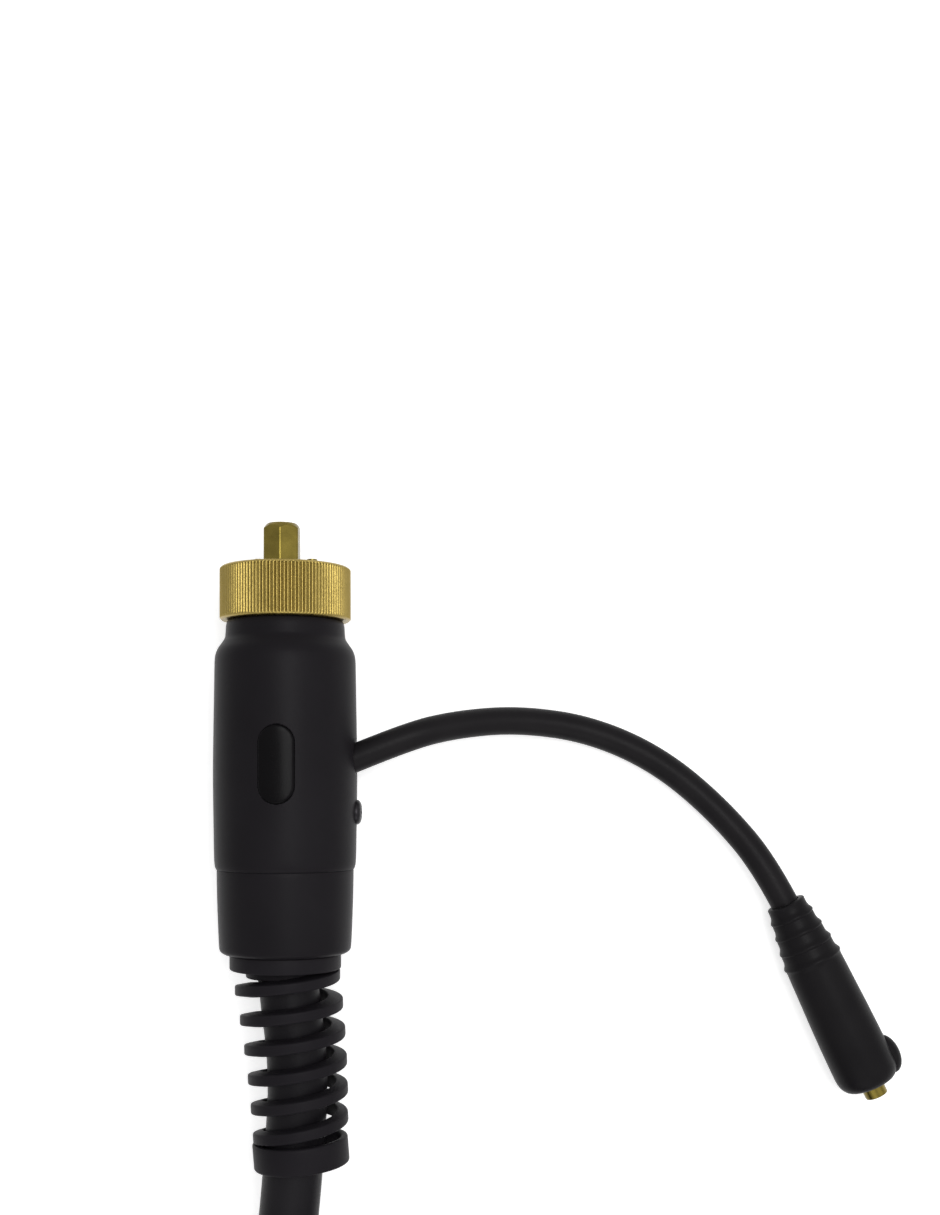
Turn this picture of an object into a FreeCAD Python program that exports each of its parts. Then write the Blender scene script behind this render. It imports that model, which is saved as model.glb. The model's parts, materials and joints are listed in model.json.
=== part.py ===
import FreeCAD, Part
import math
import os
import Sketcher

# TIG torch lead with its machine-end connector, in millimetres.
# The origin is on the connector's axis at its mating face. +Y points out of the face,
# +Z up from the bench and +X to the side where the pigtail leaves.

Vector = FreeCAD.Vector
DOCUMENT = FreeCAD.newDocument("tig_torch")

# Driving sizes: alias, value and meaning

SIZES = [
    ("fit_gap", 0.15, "clearance between round pieces that stay put"),
    ("turn_gap", 0.05, "radial clearance of a running fit"),
    ("free_gap", 0.3, "clearance round a piece that moves"),
    ("flange_diameter", 44, "face insulator, front flange"),
    ("flange_thickness", 8, "front flange along the axis"),
    ("barrel_diameter", 40, "face insulator, barrel behind the flange"),
    ("barrel_length", 60, "mating face to the barrel's rear end"),
    ("contact_offset", 10.3, "contact spigot above the connector's axis"),
    ("contact_flats", 13, "contact spigot across its flats"),
    ("contact_reach", 16.2, "contact spigot out of the face"),
    ("contact_ring", 11.2, "flat ring on the spigot's tip"),
    ("contact_bevel", 2.2, "length of the bevel on the hexagon's corners"),
    ("contact_mouth", 8.2, "bored mouth of the spigot"),
    ("contact_mouth_depth", 3.2, "straight part of the mouth"),
    ("contact_cone_depth", 3.6, "cone behind the mouth"),
    ("contact_bore", 2.2, "fine hole at the bottom of the cone"),
    ("contact_bore_depth", 20, "tip to the end of the fine hole"),
    ("contact_shank", 10, "spigot where it passes the insulator"),
    ("contact_tail", 8, "spigot where it enters the current block"),
    ("pin_offset", 10.2, "control contacts to each side of the axis"),
    ("sleeve_diameter", 6.4, "control contact sleeve"),
    ("sleeve_proud", 0.8, "sleeve out of the face"),
    ("sleeve_length", 23, "sleeve from its front ring to its rear end"),
    ("sleeve_wall", 0.7, "sleeve wall round the spring"),
    ("sleeve_lip", 1.5, "front lip that keeps the pin in"),
    ("pin_diameter", 4, "control pin"),
    ("pin_reach", 4.5, "control pin out of the face"),
    ("pin_collar", 2, "collar of the pin behind the lip"),
    ("spring_length", 9, "contact spring at rest"),
    ("nipple_offset", 13.5, "gas nipple below the axis"),
    ("nipple_diameter", 6.3, "gas nipple outside"),
    ("nipple_bore", 4.4, "gas nipple inside"),
    ("nipple_reach", 5.6, "gas nipple out of the face"),
    ("key_across", 11.7, "blind key hole beside the axis"),
    ("key_below", 12, "blind key hole below the axis"),
    ("key_diameter", 5.6, "blind key hole"),
    ("key_depth", 6, "depth of the key hole"),
    ("nut_diameter", 50, "union nut over its knurl"),
    ("nut_length", 20.3, "union nut along the axis"),
    ("nut_lead", 1.1, "nut's front rim ahead of the face at rest"),
    ("nut_bore", 44.6, "inside of the nut round the flange"),
    ("nut_lip", 3.2, "rear lip that pulls on the thrust ring"),
    ("knurl_teeth", 116, "number of knurl teeth"),
    ("knurl_depth", 0.45, "depth of the straight knurl"),
    ("ring_washer", 0.8, "washer of the thrust ring ahead of the lip"),
    ("neck_diameter", 44.3, "housing neck behind the nut"),
    ("neck_length", 5, "straight neck"),
    ("shoulder_length", 8.8, "neck to the full body"),
    ("housing_diameter", 55, "housing at its fullest, which rests on the bench"),
    ("housing_front", 19.5, "face to the housing's front edge"),
    ("housing_rear", 114.5, "face to the seam with the rear sleeve"),
    ("housing_wall", 2.7, "wall of the housing"),
    ("rear_step", 1.3, "step down from the housing to the rear sleeve"),
    ("rear_end", 146.5, "face to the rear sleeve's end"),
    ("rear_corner", 2.8, "bevelled rear corner of the sleeve"),
    ("rear_wall", 3.4, "rear wall with the guard's hole"),
    ("tab_width", 13.7, "oval release tab across"),
    ("tab_length", 29.6, "oval release tab along the axis"),
    ("tab_centre", 74.5, "face to the middle of the tab"),
    ("tab_proud", 0.5, "tab above the housing"),
    ("tab_flange", 1.6, "rim that keeps the tab in its window"),
    ("tab_flange_thickness", 1.2, "thickness of that rim"),
    ("tab_spring_diameter", 6, "spring under the tab"),
    ("screw_back", 4.6, "cable clamp's front to the housing screw"),
    ("screw_head", 9.6, "pan head"),
    ("screw_head_height", 1.8, "pan head out of the housing"),
    ("screw_shank", 4, "housing screw's thread"),
    ("screw_length", 10, "housing screw below its head"),
    ("clamp_length", 16, "cable clamp along the axis"),
    ("clamp_gap", 0.45, "cable clamp's corners to the housing's bore"),
    ("block_gap", 6, "insulator's barrel to the current block"),
    ("block_width", 14, "current block across"),
    ("block_length", 22, "current block along the axis"),
    ("tail_depth", 8, "spigot's tail inside the block"),
    ("core_reach", 25, "pigtail's core from the housing's side into the block"),
    ("block_top", 16.4, "current block's top above the axis"),
    ("block_bottom", 3.8, "current block's underside below the axis"),
    ("conductor_diameter", 9, "lead's current conductor"),
    ("conductor_height", 6, "conductor above the axis"),
    ("hose_diameter", 8.4, "gas hose outside"),
    ("hose_overlap", 7, "gas hose over the nipple's rear end"),
    ("hose_rise", 5.3, "how far the hose comes up on its way into the lead"),
    ("hose_bend", 5, "cable clamp to the hose's first bend"),
    ("hose_end", 9, "hose's second bend to its rear end"),
    ("wire_diameter", 2.6, "control wire"),
    ("wire_across", 8.6, "control wires beside the axis in the lead"),
    ("wire_below", 4.6, "control wires below the axis in the lead"),
    ("wire_bend", 8, "control wires' first bend ahead of the insulator's rear"),
    ("wire_drop", 16, "control wires' second bend behind the insulator's rear"),
    ("lead_diameter", 23, "torch lead outside"),
    ("lead_start", 128, "face to the front end of the lead's jacket"),
    ("lead_run", 24, "strain relief to the lead's first bend"),
    ("guard_lean", 6, "how far the strain relief's rear end lies to the right"),
    ("guard_tilt", 4.8, "degrees by which its rear collar is turned"),
    ("guard_ring", 42.6, "front ring of the strain relief"),
    ("guard_ring_length", 6.2, "front ring along the guard"),
    ("guard_neck", 30.2, "neck of the strain relief"),
    ("guard_neck_length", 9, "end of the neck behind the front ring's face"),
    ("guard_pitch", 11.1, "one turn of the helical band"),
    ("guard_turns", 6.25, "turns of the helical band"),
    ("guard_band", 5.5, "band along the guard"),
    ("guard_band_bevel", 0.8, "bevel on the band's outer edges"),
    ("guard_start", 3.05, "ring's face to the middle of the band where it starts, on the left"),
    ("guard_front", 41.6, "band diameter at its first turn"),
    ("guard_rear", 36.2, "band diameter at its last turn"),
    ("guard_bore", 28.6, "bore of the band round the lead"),
    ("guard_bore_front", 25.6, "bore of the front ring and neck"),
    ("guard_bore_rear", 31.4, "bore of the rear collar"),
    ("guard_exit", 3.1, "lead to the left of the rear collar's middle where it leaves"),
    ("guard_collar", 36.6, "rear collar"),
    ("guard_collar_start", 71.3, "ring's face to the rear collar"),
    ("guard_collar_end", 81.5, "ring's face to the guard's end"),
    ("guard_seat", 2.4, "thickness of the seat inside the rear sleeve"),
    ("pigtail_diameter", 11, "pigtail cable"),
    ("pigtail_core", 4.6, "pigtail conductor"),
    ("pigtail_place", 71.4, "face to the place where the pigtail leaves"),
    ("pigtail_depth", 11, "pigtail jacket inside the housing, from its side"),
    ("pigtail_turn", 23, "degrees that the pigtail leaves forward of square"),
    ("pigtail_run", 20, "housing's side to the pigtail's first bend"),
    ("plug_run", 14, "pigtail's last bend to the plug's boot"),
    ("plug_across", 195.4, "axis to the plug's boot, sideways"),
    ("plug_back", 128.8, "face to the plug's boot, backwards"),
    ("plug_turn", 25.5, "degrees between the plug and the connector's axis"),
    ("plug_length", 79, "rubber grip of the plug"),
    ("plug_boot", 15.6, "grip at the cable"),
    ("plug_waist", 23.2, "grip behind its rings"),
    ("plug_diameter", 24.8, "grip at its fullest"),
    ("plug_nib", 3.2, "locating nib out of the grip"),
    ("plug_nib_width", 8, "locating nib across"),
    ("plug_nib_length", 13.5, "locating nib along the grip"),
    ("plug_nib_place", 15.5, "nib's rear end to the grip's end face"),
    ("plug_rings", 4, "stepped rings at the grip's neck"),
    ("plug_ring_pitch", 6.2, "from one ring to the next"),
    ("plug_bevel", 2.6, "bevel round the end face"),
    ("plug_pin_depth", 28, "brass pin inside the grip"),
    ("plug_shoulder", 40, "grip's rear end to its fullest part"),
    ("plug_cable_depth", 14, "cable jacket inside the grip"),
    ("plug_pin", 9, "brass pin of the plug"),
    ("plug_core", 11, "brass body inside the grip"),
    ("plug_pin_reach", 5, "brass pin out of the grip"),
    ("coil_across", -20, "axis to the lead where it enters the coil"),
    ("coil_entry", 424, "face to the coil's middle"),
    ("coil_radius", 155, "outermost half turn's mid-line"),
    ("coil_inward", 4, "half turns that spiral in before the one that climbs"),
    ("coil_step", 23.6, "from one turn to the next beside it"),
    ("coil_layer", 23.6, "from one layer to the next above it"),
    ("tail_run", 35, "coil to the lead's first bend on its way to the handpiece"),
    ("hand_run", 22, "lead's last bend to the handpiece"),
    ("hand_across", 20.4, "axis to the handpiece's rear end, sideways"),
    ("hand_back", 617.1, "face to the handpiece's rear end, backwards"),
    ("hand_turn", 42, "degrees between the handpiece and the connector's axis"),
    ("hand_boot_length", 42, "rubber boot behind the handle"),
    ("boot_diameter", 26.4, "boot where the lead enters"),
    ("boot_depth", 24, "lead inside the boot"),
    ("boot_step", 24, "boot's rear end to its full width"),
    ("handle_diameter", 31, "handle"),
    ("handle_screw", 3, "screws that join the handle's shells"),
    ("handle_screw_length", 12, "those screws"),
    ("screw_wall", 1.2, "wall between the neck and those screws"),
    ("trigger_lip", 1.2, "thickness of the trigger's rim"),
    ("trigger_rim", 3, "rim of the trigger inside the handle"),
    ("plunger_reach", 2, "pusher under the trigger"),
    ("plunger_width", 2.4, "that pusher across"),
    ("switch_wire", 1.6, "wires of the microswitch"),
    ("hand_hose", 10, "hose and conductor inside the handle"),
    ("hand_hose_aside", 6.6, "that hose beside the handle's middle"),
    ("neck_inside", 10, "torch neck inside the handle"),
    ("collet_wall", 1.2, "wall of the collet body round the electrode"),
    ("handle_length", 150, "handle along its axis"),
    ("handle_wall", 2.6, "wall of the handle"),
    ("handle_nose", 19, "handle's front end"),
    ("handle_nose_length", 14, "taper at the handle's front"),
    ("trigger_length", 30, "trigger button along the handle"),
    ("trigger_width", 8, "trigger button across"),
    ("trigger_proud", 2.4, "trigger button out of the handle"),
    ("trigger_bevel", 1.9, "slope at the trigger's two ends"),
    ("trigger_root", 0.5, "button and pusher sunk into the trigger's rim"),
    ("trigger_travel", 1.8, "how far the trigger is pressed"),
    ("trigger_place", 118, "rear end of the boot to the middle of the trigger"),
    ("switch_length", 13, "microswitch along the handle"),
    ("switch_width", 6, "microswitch across"),
    ("switch_depth", 7, "microswitch towards the handle's middle"),
    ("neck_tube", 13.6, "torch neck between handle and head"),
    ("neck_run", 26, "handle's front end to the head's axis"),
    ("head_turn", 70, "degrees between handle and cup"),
    ("head_diameter", 18.6, "torch head"),
    ("head_front", 17, "head's axis crossing to its cup end"),
    ("head_back", 15, "head's axis crossing to its cap end"),
    ("head_bore", 9.6, "bore of the head"),
    ("gasket_thickness", 3, "insulating ring under the cup"),
    ("cup_length", 34, "ceramic cup"),
    ("cup_diameter", 18, "ceramic cup at the head"),
    ("cup_tip", 12.8, "ceramic cup at its tip"),
    ("cup_bore", 9.5, "ceramic cup's bore"),
    ("cup_collar", 12, "ceramic cup's thick rear end"),
    ("collet_reach", 14, "collet body inside the cup"),
    ("electrode_diameter", 2.4, "tungsten electrode"),
    ("electrode_reach", 5, "electrode out of the cup"),
    ("cap_length", 46, "back cap"),
    ("cap_diameter", 15, "back cap at the head"),
    ("cap_tip", 11, "back cap at its closed end"),
    ("cap_spigot", 7, "back cap's spigot inside the head"),
    ("cap_step", 20, "back cap's full part"),
    ("cap_bore", 3, "bore in the back cap round the electrode"),
    ("cap_wall", 4, "closed end of the back cap"),
]

# Routes of the free cords: across, behind the face and above the bench

ROUTES = {
    "pigtail": [(67, 58.2, 18.4), (91, 56.2, 10.2), (119, 60, 5.5), (146, 72, 5.5), (170, 92, 6)],
    "inside": [(0, 146, 27.5), (1.9, 166, 27.5), (4.2, 183, 27.5), (4.8, 200, 27.5), (3.9, 215, 27.5)],
    "lead": [(-5, 288, 20.5), (-13.5, 326, 11.5), (-20, 364, 11.5)],
    "tail": [(-21.5, 520, 28), (-14.5, 559.4, 19)],
}
for route, spots in ROUTES.items():
    for number, spot in enumerate(spots, start=1):
        for value, word in zip(spot, ("across", "behind", "above")):
            meaning = "%s, point %d, %s" % (route, number, word)
            SIZES.append(("%s_%d_%s" % (route, number, word), value, meaning))

SHEET = DOCUMENT.addObject("Spreadsheet::Sheet", "Sizes")
for row, (alias, value, meaning) in enumerate(SIZES, start=1):
    SHEET.set("A%d" % row, meaning)
    SHEET.set("B%d" % row, str(value))
    SHEET.setAlias("B%d" % row, alias)
DOCUMENT.recompute()


class Size:
    """A length or count, with the expression on the sheet that gives it."""

    def __init__(self, value, text):
        self.value = value
        self.text = text

    def __add__(self, other):
        return Size(self.value + as_size(other).value, "(%s + %s)" % (self.text, as_size(other).text))

    def __sub__(self, other):
        return Size(self.value - as_size(other).value, "(%s - %s)" % (self.text, as_size(other).text))

    def __mul__(self, other):
        return Size(self.value * as_size(other).value, "(%s * %s)" % (self.text, as_size(other).text))

    def __truediv__(self, other):
        return Size(self.value / as_size(other).value, "(%s / %s)" % (self.text, as_size(other).text))

    def __neg__(self):
        return Size(-self.value, "(0 - %s)" % self.text)

    def __radd__(self, other):
        return as_size(other) + self

    def __rsub__(self, other):
        return as_size(other) - self

    def __rmul__(self, other):
        return as_size(other) * self


def as_size(number):
    if isinstance(number, Size):
        return number
    return Size(float(number), repr(float(number)))


def sine(angle):
    return Size(math.sin(math.radians(angle.value)), "sin(%s)" % angle.text)


def cosine(angle):
    return Size(math.cos(math.radians(angle.value)), "cos(%s)" % angle.text)


def root(size):
    return Size(math.sqrt(size.value), "sqrt(%s)" % size.text)


class Sheet:
    """Gives each alias of the spreadsheet as a Size."""


for alias, value, meaning in SIZES:
    setattr(Sheet, alias, Size(float(value), "Sizes.%s" % alias))
S = Sheet
BENCH = -S.housing_diameter / 2
NODES = []


# Small tools for sketches, bodies and placements


class Place:
    """Where a sub-part's own origin lies, and how far it is turned about the vertical."""

    def __init__(self, across=0, along=0, height=0, turn=0):
        self.across = as_size(across)
        self.along = as_size(along)
        self.height = as_size(height)
        self.turn = as_size(turn)

    def shifted(self, across, along, height=0):
        """A place given in this place's own directions."""
        across = as_size(across)
        along = as_size(along)
        east = self.across + across * cosine(self.turn) - along * sine(self.turn)
        north = self.along + across * sine(self.turn) + along * cosine(self.turn)
        return Place(east, north, self.height + height, self.turn)

    def turned(self, angle):
        return Place(self.across, self.along, self.height, self.turn + angle)


ORIGIN = Place()


def put(thing, place, pitch=None):
    """Place an object and bind its position to the sheet."""
    rotation = FreeCAD.Rotation(Vector(0, 0, 1), place.turn.value)
    if pitch is not None:
        rotation = rotation.multiply(pitch)
    base = Vector(place.across.value, place.along.value, place.height.value)
    thing.Placement = FreeCAD.Placement(base, rotation)
    thing.setExpression("Placement.Base.x", place.across.text)
    thing.setExpression("Placement.Base.y", place.along.text)
    thing.setExpression("Placement.Base.z", place.height.text)


def node(thing, name):
    """Give an object its Label and list it as a sub-part."""
    thing.Label = name
    NODES.append(thing)
    return thing


def new_body(name):
    return DOCUMENT.addObject("PartDesign::Body", name)


def new_sketch(body, name, role, offset=0):
    """A sketch on one of its body's origin planes, moved along the plane's normal."""
    sketch = body.newObject("Sketcher::SketchObject", name)
    plane = [item for item in body.Origin.OriginFeatures if item.Role == role][0]
    sketch.AttachmentSupport = (plane, "")
    sketch.MapMode = "FlatFace"
    offset = as_size(offset)
    sketch.AttachmentOffset = FreeCAD.Placement(Vector(0, 0, offset.value), FreeCAD.Rotation())
    sketch.setExpression("AttachmentOffset.Base.z", offset.text)
    return sketch


def bind(sketch, kind, *parts):
    """Add a constraint whose last part is a Size, bound to the sheet."""
    size = parts[-1]
    index = sketch.addConstraint(Sketcher.Constraint(kind, *parts[:-1], size.value))
    sketch.setExpression("Constraints[%d]" % index, size.text)


def pin_down(sketch, edge, end, corner):
    """Fix one end of an edge at a corner that is given by two Sizes."""
    bind(sketch, "DistanceX", -1, 1, edge, end, corner[0])
    bind(sketch, "DistanceY", -1, 1, edge, end, corner[1])


def bulge(start, end, radius):
    """The middle of an arc between two points: outward for a positive radius, hollow for a negative one."""
    chord = end - start
    normal = Vector(-chord.y, chord.x, 0).normalize()
    height = abs(radius) - math.sqrt(radius * radius - chord.Length ** 2 / 4)
    middle = (start + end) / 2
    if radius > 0:
        return middle - normal * height
    return middle + normal * height


def draw_outline(sketch, corners, arcs=None):
    """Draw a closed outline, counter-clockwise; arcs gives the radius of an edge by its number."""
    arcs = arcs or {}
    corners = [(as_size(across), as_size(along)) for across, along in corners]
    points = [Vector(across.value, along.value, 0) for across, along in corners]
    ends = []
    first = sketch.GeometryCount
    for number, start in enumerate(points):
        end = points[(number + 1) % len(points)]
        if number in arcs:
            middle = bulge(start, end, as_size(arcs[number]).value)
            sketch.addGeometry(Part.Arc(start, middle, end), False)
            ends.append((1, 2) if as_size(arcs[number]).value > 0 else (2, 1))
        else:
            sketch.addGeometry(Part.LineSegment(start, end), False)
            ends.append((1, 2))
    for number in range(len(points)):
        following = (number + 1) % len(points)
        sketch.addConstraint(Sketcher.Constraint(
            "Coincident", first + number, ends[number][1], first + following, ends[following][0]))
        pin_down(sketch, first + number, ends[number][0], corners[number])
    for number in arcs:
        radius = as_size(arcs[number])
        bind(sketch, "Radius", first + number, radius if radius.value > 0 else -radius)


def draw_circles(sketch, circles):
    """Draw circles, each given by its centre and diameter."""
    for across, along, diameter in circles:
        across, along, diameter = as_size(across), as_size(along), as_size(diameter)
        centre = Vector(across.value, along.value, 0)
        edge = sketch.addGeometry(Part.Circle(centre, Vector(0, 0, 1), diameter.value / 2), False)
        pin_down(sketch, edge, 3, (across, along))
        bind(sketch, "Diameter", edge, diameter)


def hexagon(flats):
    """Corners of a hexagon, across its flats, with corners at the top and bottom."""
    corner = flats / (2 * math.cos(math.radians(30)))
    angles = [math.radians(60 * step + 30) for step in range(6)]
    return [(corner * round(math.cos(a), 9), corner * round(math.sin(a), 9)) for a in angles]


def revolve(body, name, corners, arcs=None, groove=False, angle=360):
    """Turn an outline, given as radius and place along the axis, about the body's own Y axis."""
    sketch = new_sketch(body, name + "_outline", "XY_Plane")
    draw_outline(sketch, corners, arcs)
    kind = "PartDesign::Groove" if groove else "PartDesign::Revolution"
    feature = body.newObject(kind, name)
    feature.Profile = sketch
    feature.ReferenceAxis = (sketch, ["V_Axis"])
    feature.Angle = angle
    return feature


def lathe(name, corners, arcs=None, place=ORIGIN, pitch=None):
    """A turned sub-part."""
    body = new_body(name)
    revolve(body, name + "_turned", corners, arcs)
    put(body, place, pitch)
    return body


def ring(inner, outer, front, rear):
    """Outline of a plain ring between two places along the axis; front is the larger."""
    return [(inner, rear), (outer, rear), (outer, front), (inner, front)]


def drill(body, name, front, depth, circles):
    """Holes into a body from a place on its Y axis, backwards."""
    front = as_size(front)
    depth = as_size(depth)
    sketch = new_sketch(body, name + "_circles", "XZ_Plane", -front)
    draw_circles(sketch, circles)
    return pocket(body, name, sketch, depth, True)


def pocket(body, name, sketch, depth, reverse):
    feature = body.newObject("PartDesign::Pocket", name)
    feature.Profile = sketch
    feature.Length = depth.value
    feature.Reversed = reverse
    feature.setExpression("Length", depth.text)
    return feature


def pad(body, name, sketch, length, reverse=False):
    feature = body.newObject("PartDesign::Pad", name)
    feature.Profile = sketch
    feature.Length = length.value
    feature.Reversed = reverse
    feature.setExpression("Length", length.text)
    return feature


def pill(width, length, middle):
    """Corners of an oval along the axis, counter-clockwise, with its two round ends as arcs."""
    half = width / 2
    straight = (length - width) / 2
    corners = [
        (half, middle - straight), (half, middle + straight), (0, middle + straight + half),
        (-half, middle + straight), (-half, middle - straight), (0, middle - straight - half)]
    return corners, {1: half, 2: half, 4: half, 5: half}


def cylinder(name, radius, length, place, pitch=None):
    """A plain round bar along the place's Y axis."""
    bar = DOCUMENT.addObject("Part::Cylinder", name)
    bar.setExpression("Radius", as_size(radius).text)
    bar.setExpression("Height", as_size(length).text)
    along_y = FreeCAD.Rotation(Vector(1, 0, 0), -90)
    put(bar, place, along_y if pitch is None else pitch.multiply(along_y))
    return bar


def rod(name, diameter, length, place):
    """A six-sided bar along the place's Y axis, for a wire, hose or spring that stays inside."""
    bar = DOCUMENT.addObject("Part::Prism", name)
    bar.Polygon = 6
    bar.setExpression("Circumradius", (as_size(diameter) / 2).text)
    bar.setExpression("Height", as_size(length).text)
    put(bar, place, FreeCAD.Rotation(Vector(1, 0, 0), -90))
    return bar


def box(name, width, length, height, place):
    """A block from a place's own corner: across, along and up."""
    block = DOCUMENT.addObject("Part::Box", name)
    block.setExpression("Length", as_size(width).text)
    block.setExpression("Width", as_size(length).text)
    block.setExpression("Height", as_size(height).text)
    put(block, place)
    return block


def cut(name, base, tools):
    """A base less its tools."""
    tool = tools[0]
    if len(tools) > 1:
        tool = DOCUMENT.addObject("Part::MultiFuse", name + "_tools")
        tool.Shapes = tools
    result = DOCUMENT.addObject("Part::Cut", name + "_cut")
    result.Base = base
    result.Tool = tool
    return result


def fuse(name, pieces):
    result = DOCUMENT.addObject("Part::MultiFuse", name + "_fused")
    result.Shapes = pieces
    return result


# Tubes along a route of straight runs joined by tangent arcs

SQUARE_SIDE = math.sqrt(math.pi) / 2


def route_wire(points, name, least):
    """The mid-line through a route's points, each corner as large an arc as its two runs allow."""
    print(name, "radii:", end=" ")
    edges = []
    last = points[0]
    for before, corner, after in zip(points, points[1:], points[2:]):
        first_run = (corner - before).Length
        second_run = (after - corner).Length
        inward = (before - corner).normalize()
        outward = (after - corner).normalize()
        turn = math.pi - inward.getAngle(outward)
        reach = 0.45 * min(first_run, second_run)
        radius = reach / math.tan(turn / 2)
        print("%.0f" % radius, end=" ")
        if radius < least:
            print("(tight)", end=" ")
        start = corner + inward * reach
        end = corner + outward * reach
        half = (inward + outward).normalize()
        middle = corner + half * (radius / math.cos(turn / 2) - radius)
        edges.append(Part.LineSegment(last, start).toShape())
        edges.append(Part.Arc(start, middle, end).toShape())
        last = end
    edges.append(Part.LineSegment(last, points[-1]).toShape())
    wire = Part.Wire(edges)
    print("length %.0f" % wire.Length)
    return wire


def section(point, direction, diameter, sides):
    """A section square to a direction: a corner down, or flat side down and of the round one's area if square."""
    direction = Vector(direction).normalize()
    side = direction.cross(Vector(0, 0, 1)).normalize()
    up = side.cross(direction)
    first = 0
    reach = diameter / 2
    if sides == 4:
        first = 0.5
        reach = SQUARE_SIDE * diameter / math.sqrt(2)
    corners = []
    for step in range(sides + 1):
        angle = 2 * math.pi * (step + first) / sides
        corners.append(point + side * (math.sin(angle) * reach) - up * (math.cos(angle) * reach))
    return Part.makePolygon(corners)


def swept(wire, start, direction, diameter, sides):
    """A tube along a wire. Its volume is compared with its section times its length."""
    profile = section(start, direction, diameter, sides)
    shape = wire.makePipeShell([profile], True, False)
    if not shape.Solids:
        raise RuntimeError("the tube did not close")
    expected = Part.Face(profile).Area * wire.Length
    print("tube volume over section times length: %.4f" % (shape.Volume / expected))
    return shape


def tube(name, points, diameter, sides=8):
    """A cable along a route, as one feature."""
    wire = route_wire(points, name, 3 * diameter)
    feature = DOCUMENT.addObject("Part::Feature", name)
    feature.Shape = swept(wire, points[0], points[1] - points[0], diameter, sides)
    return feature


# Connector face


def make_face_insulator():
    """Flange and barrel, with holes for the contacts and a blind key hole."""
    body = new_body("insulator")
    flange = S.flange_diameter / 2
    barrel = S.barrel_diameter / 2
    revolve(body, "insulator_turned", [
        (0, -S.barrel_length), (barrel, -S.barrel_length), (barrel, -S.flange_thickness),
        (flange, -S.flange_thickness), (flange, 0), (0, 0)])
    sleeve = S.sleeve_diameter + 2 * S.fit_gap
    drill(body, "insulator_holes", 0, S.barrel_length + 1, [
        (0, S.contact_offset, S.contact_shank + 2 * S.fit_gap),
        (S.pin_offset, 0, sleeve), (-S.pin_offset, 0, sleeve),
        (0, -S.nipple_offset, S.nipple_diameter + 4 * S.fit_gap)])
    drill(body, "key_hole", 0, S.key_depth, [(S.key_across, -S.key_below, S.key_diameter)])
    node(body, "face_insulator")


def make_contact_tube():
    """Hexagonal spigot with its bored mouth, its shank through the insulator and its tail in the block."""
    body = new_body("spigot")
    sketch = new_sketch(body, "spigot_hexagon", "XZ_Plane", -S.contact_reach)
    draw_outline(sketch, hexagon(S.contact_flats))
    pad(body, "spigot_head", sketch, S.contact_reach)
    tail_end = BLOCK_FRONT - S.tail_depth
    shank = S.contact_shank / 2
    tail = S.contact_tail / 2
    revolve(body, "spigot_shank", [
        (0, tail_end), (tail, tail_end), (tail, -S.barrel_length), (shank, -S.barrel_length), (shank, 1),
        (0, 1)])
    outside = S.contact_flats
    tip = S.contact_reach
    revolve(body, "spigot_bevel", [
        (S.contact_ring / 2, tip), (outside, tip - S.contact_bevel * (outside - S.contact_ring / 2) / 2),
        (outside, tip)], groove=True)
    mouth = S.contact_mouth / 2
    bore = S.contact_bore / 2
    cone = tip - S.contact_mouth_depth
    revolve(body, "spigot_mouth", [
        (0, tip - S.contact_bore_depth), (bore, tip - S.contact_bore_depth),
        (bore, cone - S.contact_cone_depth), (mouth, cone), (mouth, tip), (0, tip)], groove=True)
    put(body, Place(0, 0, S.contact_offset))
    node(body, "contact_tube")


def make_gas_nipple():
    outer = S.nipple_diameter / 2
    bore = S.nipple_bore / 2
    shank = outer + S.fit_gap
    rear = -S.barrel_length - S.hose_overlap
    node(lathe("nipple", [
        (bore, rear), (shank, rear), (shank, 0), (outer, 0), (outer, S.nipple_reach), (bore, S.nipple_reach)],
        place=Place(0, 0, -S.nipple_offset)), "gas_nipple")


SLEEVE_REAR = S.sleeve_proud - S.sleeve_length
SPRING_FRONT = S.sleeve_proud - S.sleeve_lip - S.turn_gap - S.pin_collar - S.turn_gap


def make_control_contact(side, name):
    """One of the two sprung contacts: sleeve, pin and spring."""
    place = Place(side * S.pin_offset)
    outer = S.sleeve_diameter / 2
    inner = outer - S.sleeve_wall
    lip = S.pin_diameter / 2 + S.turn_gap
    front = S.sleeve_proud
    lip_rear = front - S.sleeve_lip
    seat = SPRING_FRONT - S.spring_length - S.turn_gap
    sleeve = lathe("sleeve_" + name, [
        (0, SLEEVE_REAR), (outer, SLEEVE_REAR), (outer, front), (lip, front), (lip, lip_rear),
        (inner, lip_rear), (inner, seat), (0, seat)], place=place)
    node(sleeve, "contact_sleeve_" + name)
    pin = S.pin_diameter / 2
    collar_front = lip_rear - S.turn_gap
    collar_rear = collar_front - S.pin_collar
    plunger = lathe("pin_" + name, [
        (0, collar_rear), (inner - S.turn_gap, collar_rear), (inner - S.turn_gap, collar_front),
        (pin, collar_front), (pin, S.pin_reach), (0, S.pin_reach)], place=place)
    node(plunger, "contact_pin_" + name)
    spring = rod("spring_" + name, 2 * (inner - S.free_gap), S.spring_length,
                 Place(side * S.pin_offset, SPRING_FRONT - S.spring_length))
    node(spring, "contact_spring_" + name)


# Union nut and its thrust ring

NUT_FRONT = S.nut_lead
NUT_REAR = S.nut_lead - S.nut_length
LIP_FRONT = NUT_REAR + S.nut_lip
RING_INNER = S.barrel_diameter / 2 + S.turn_gap


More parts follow.
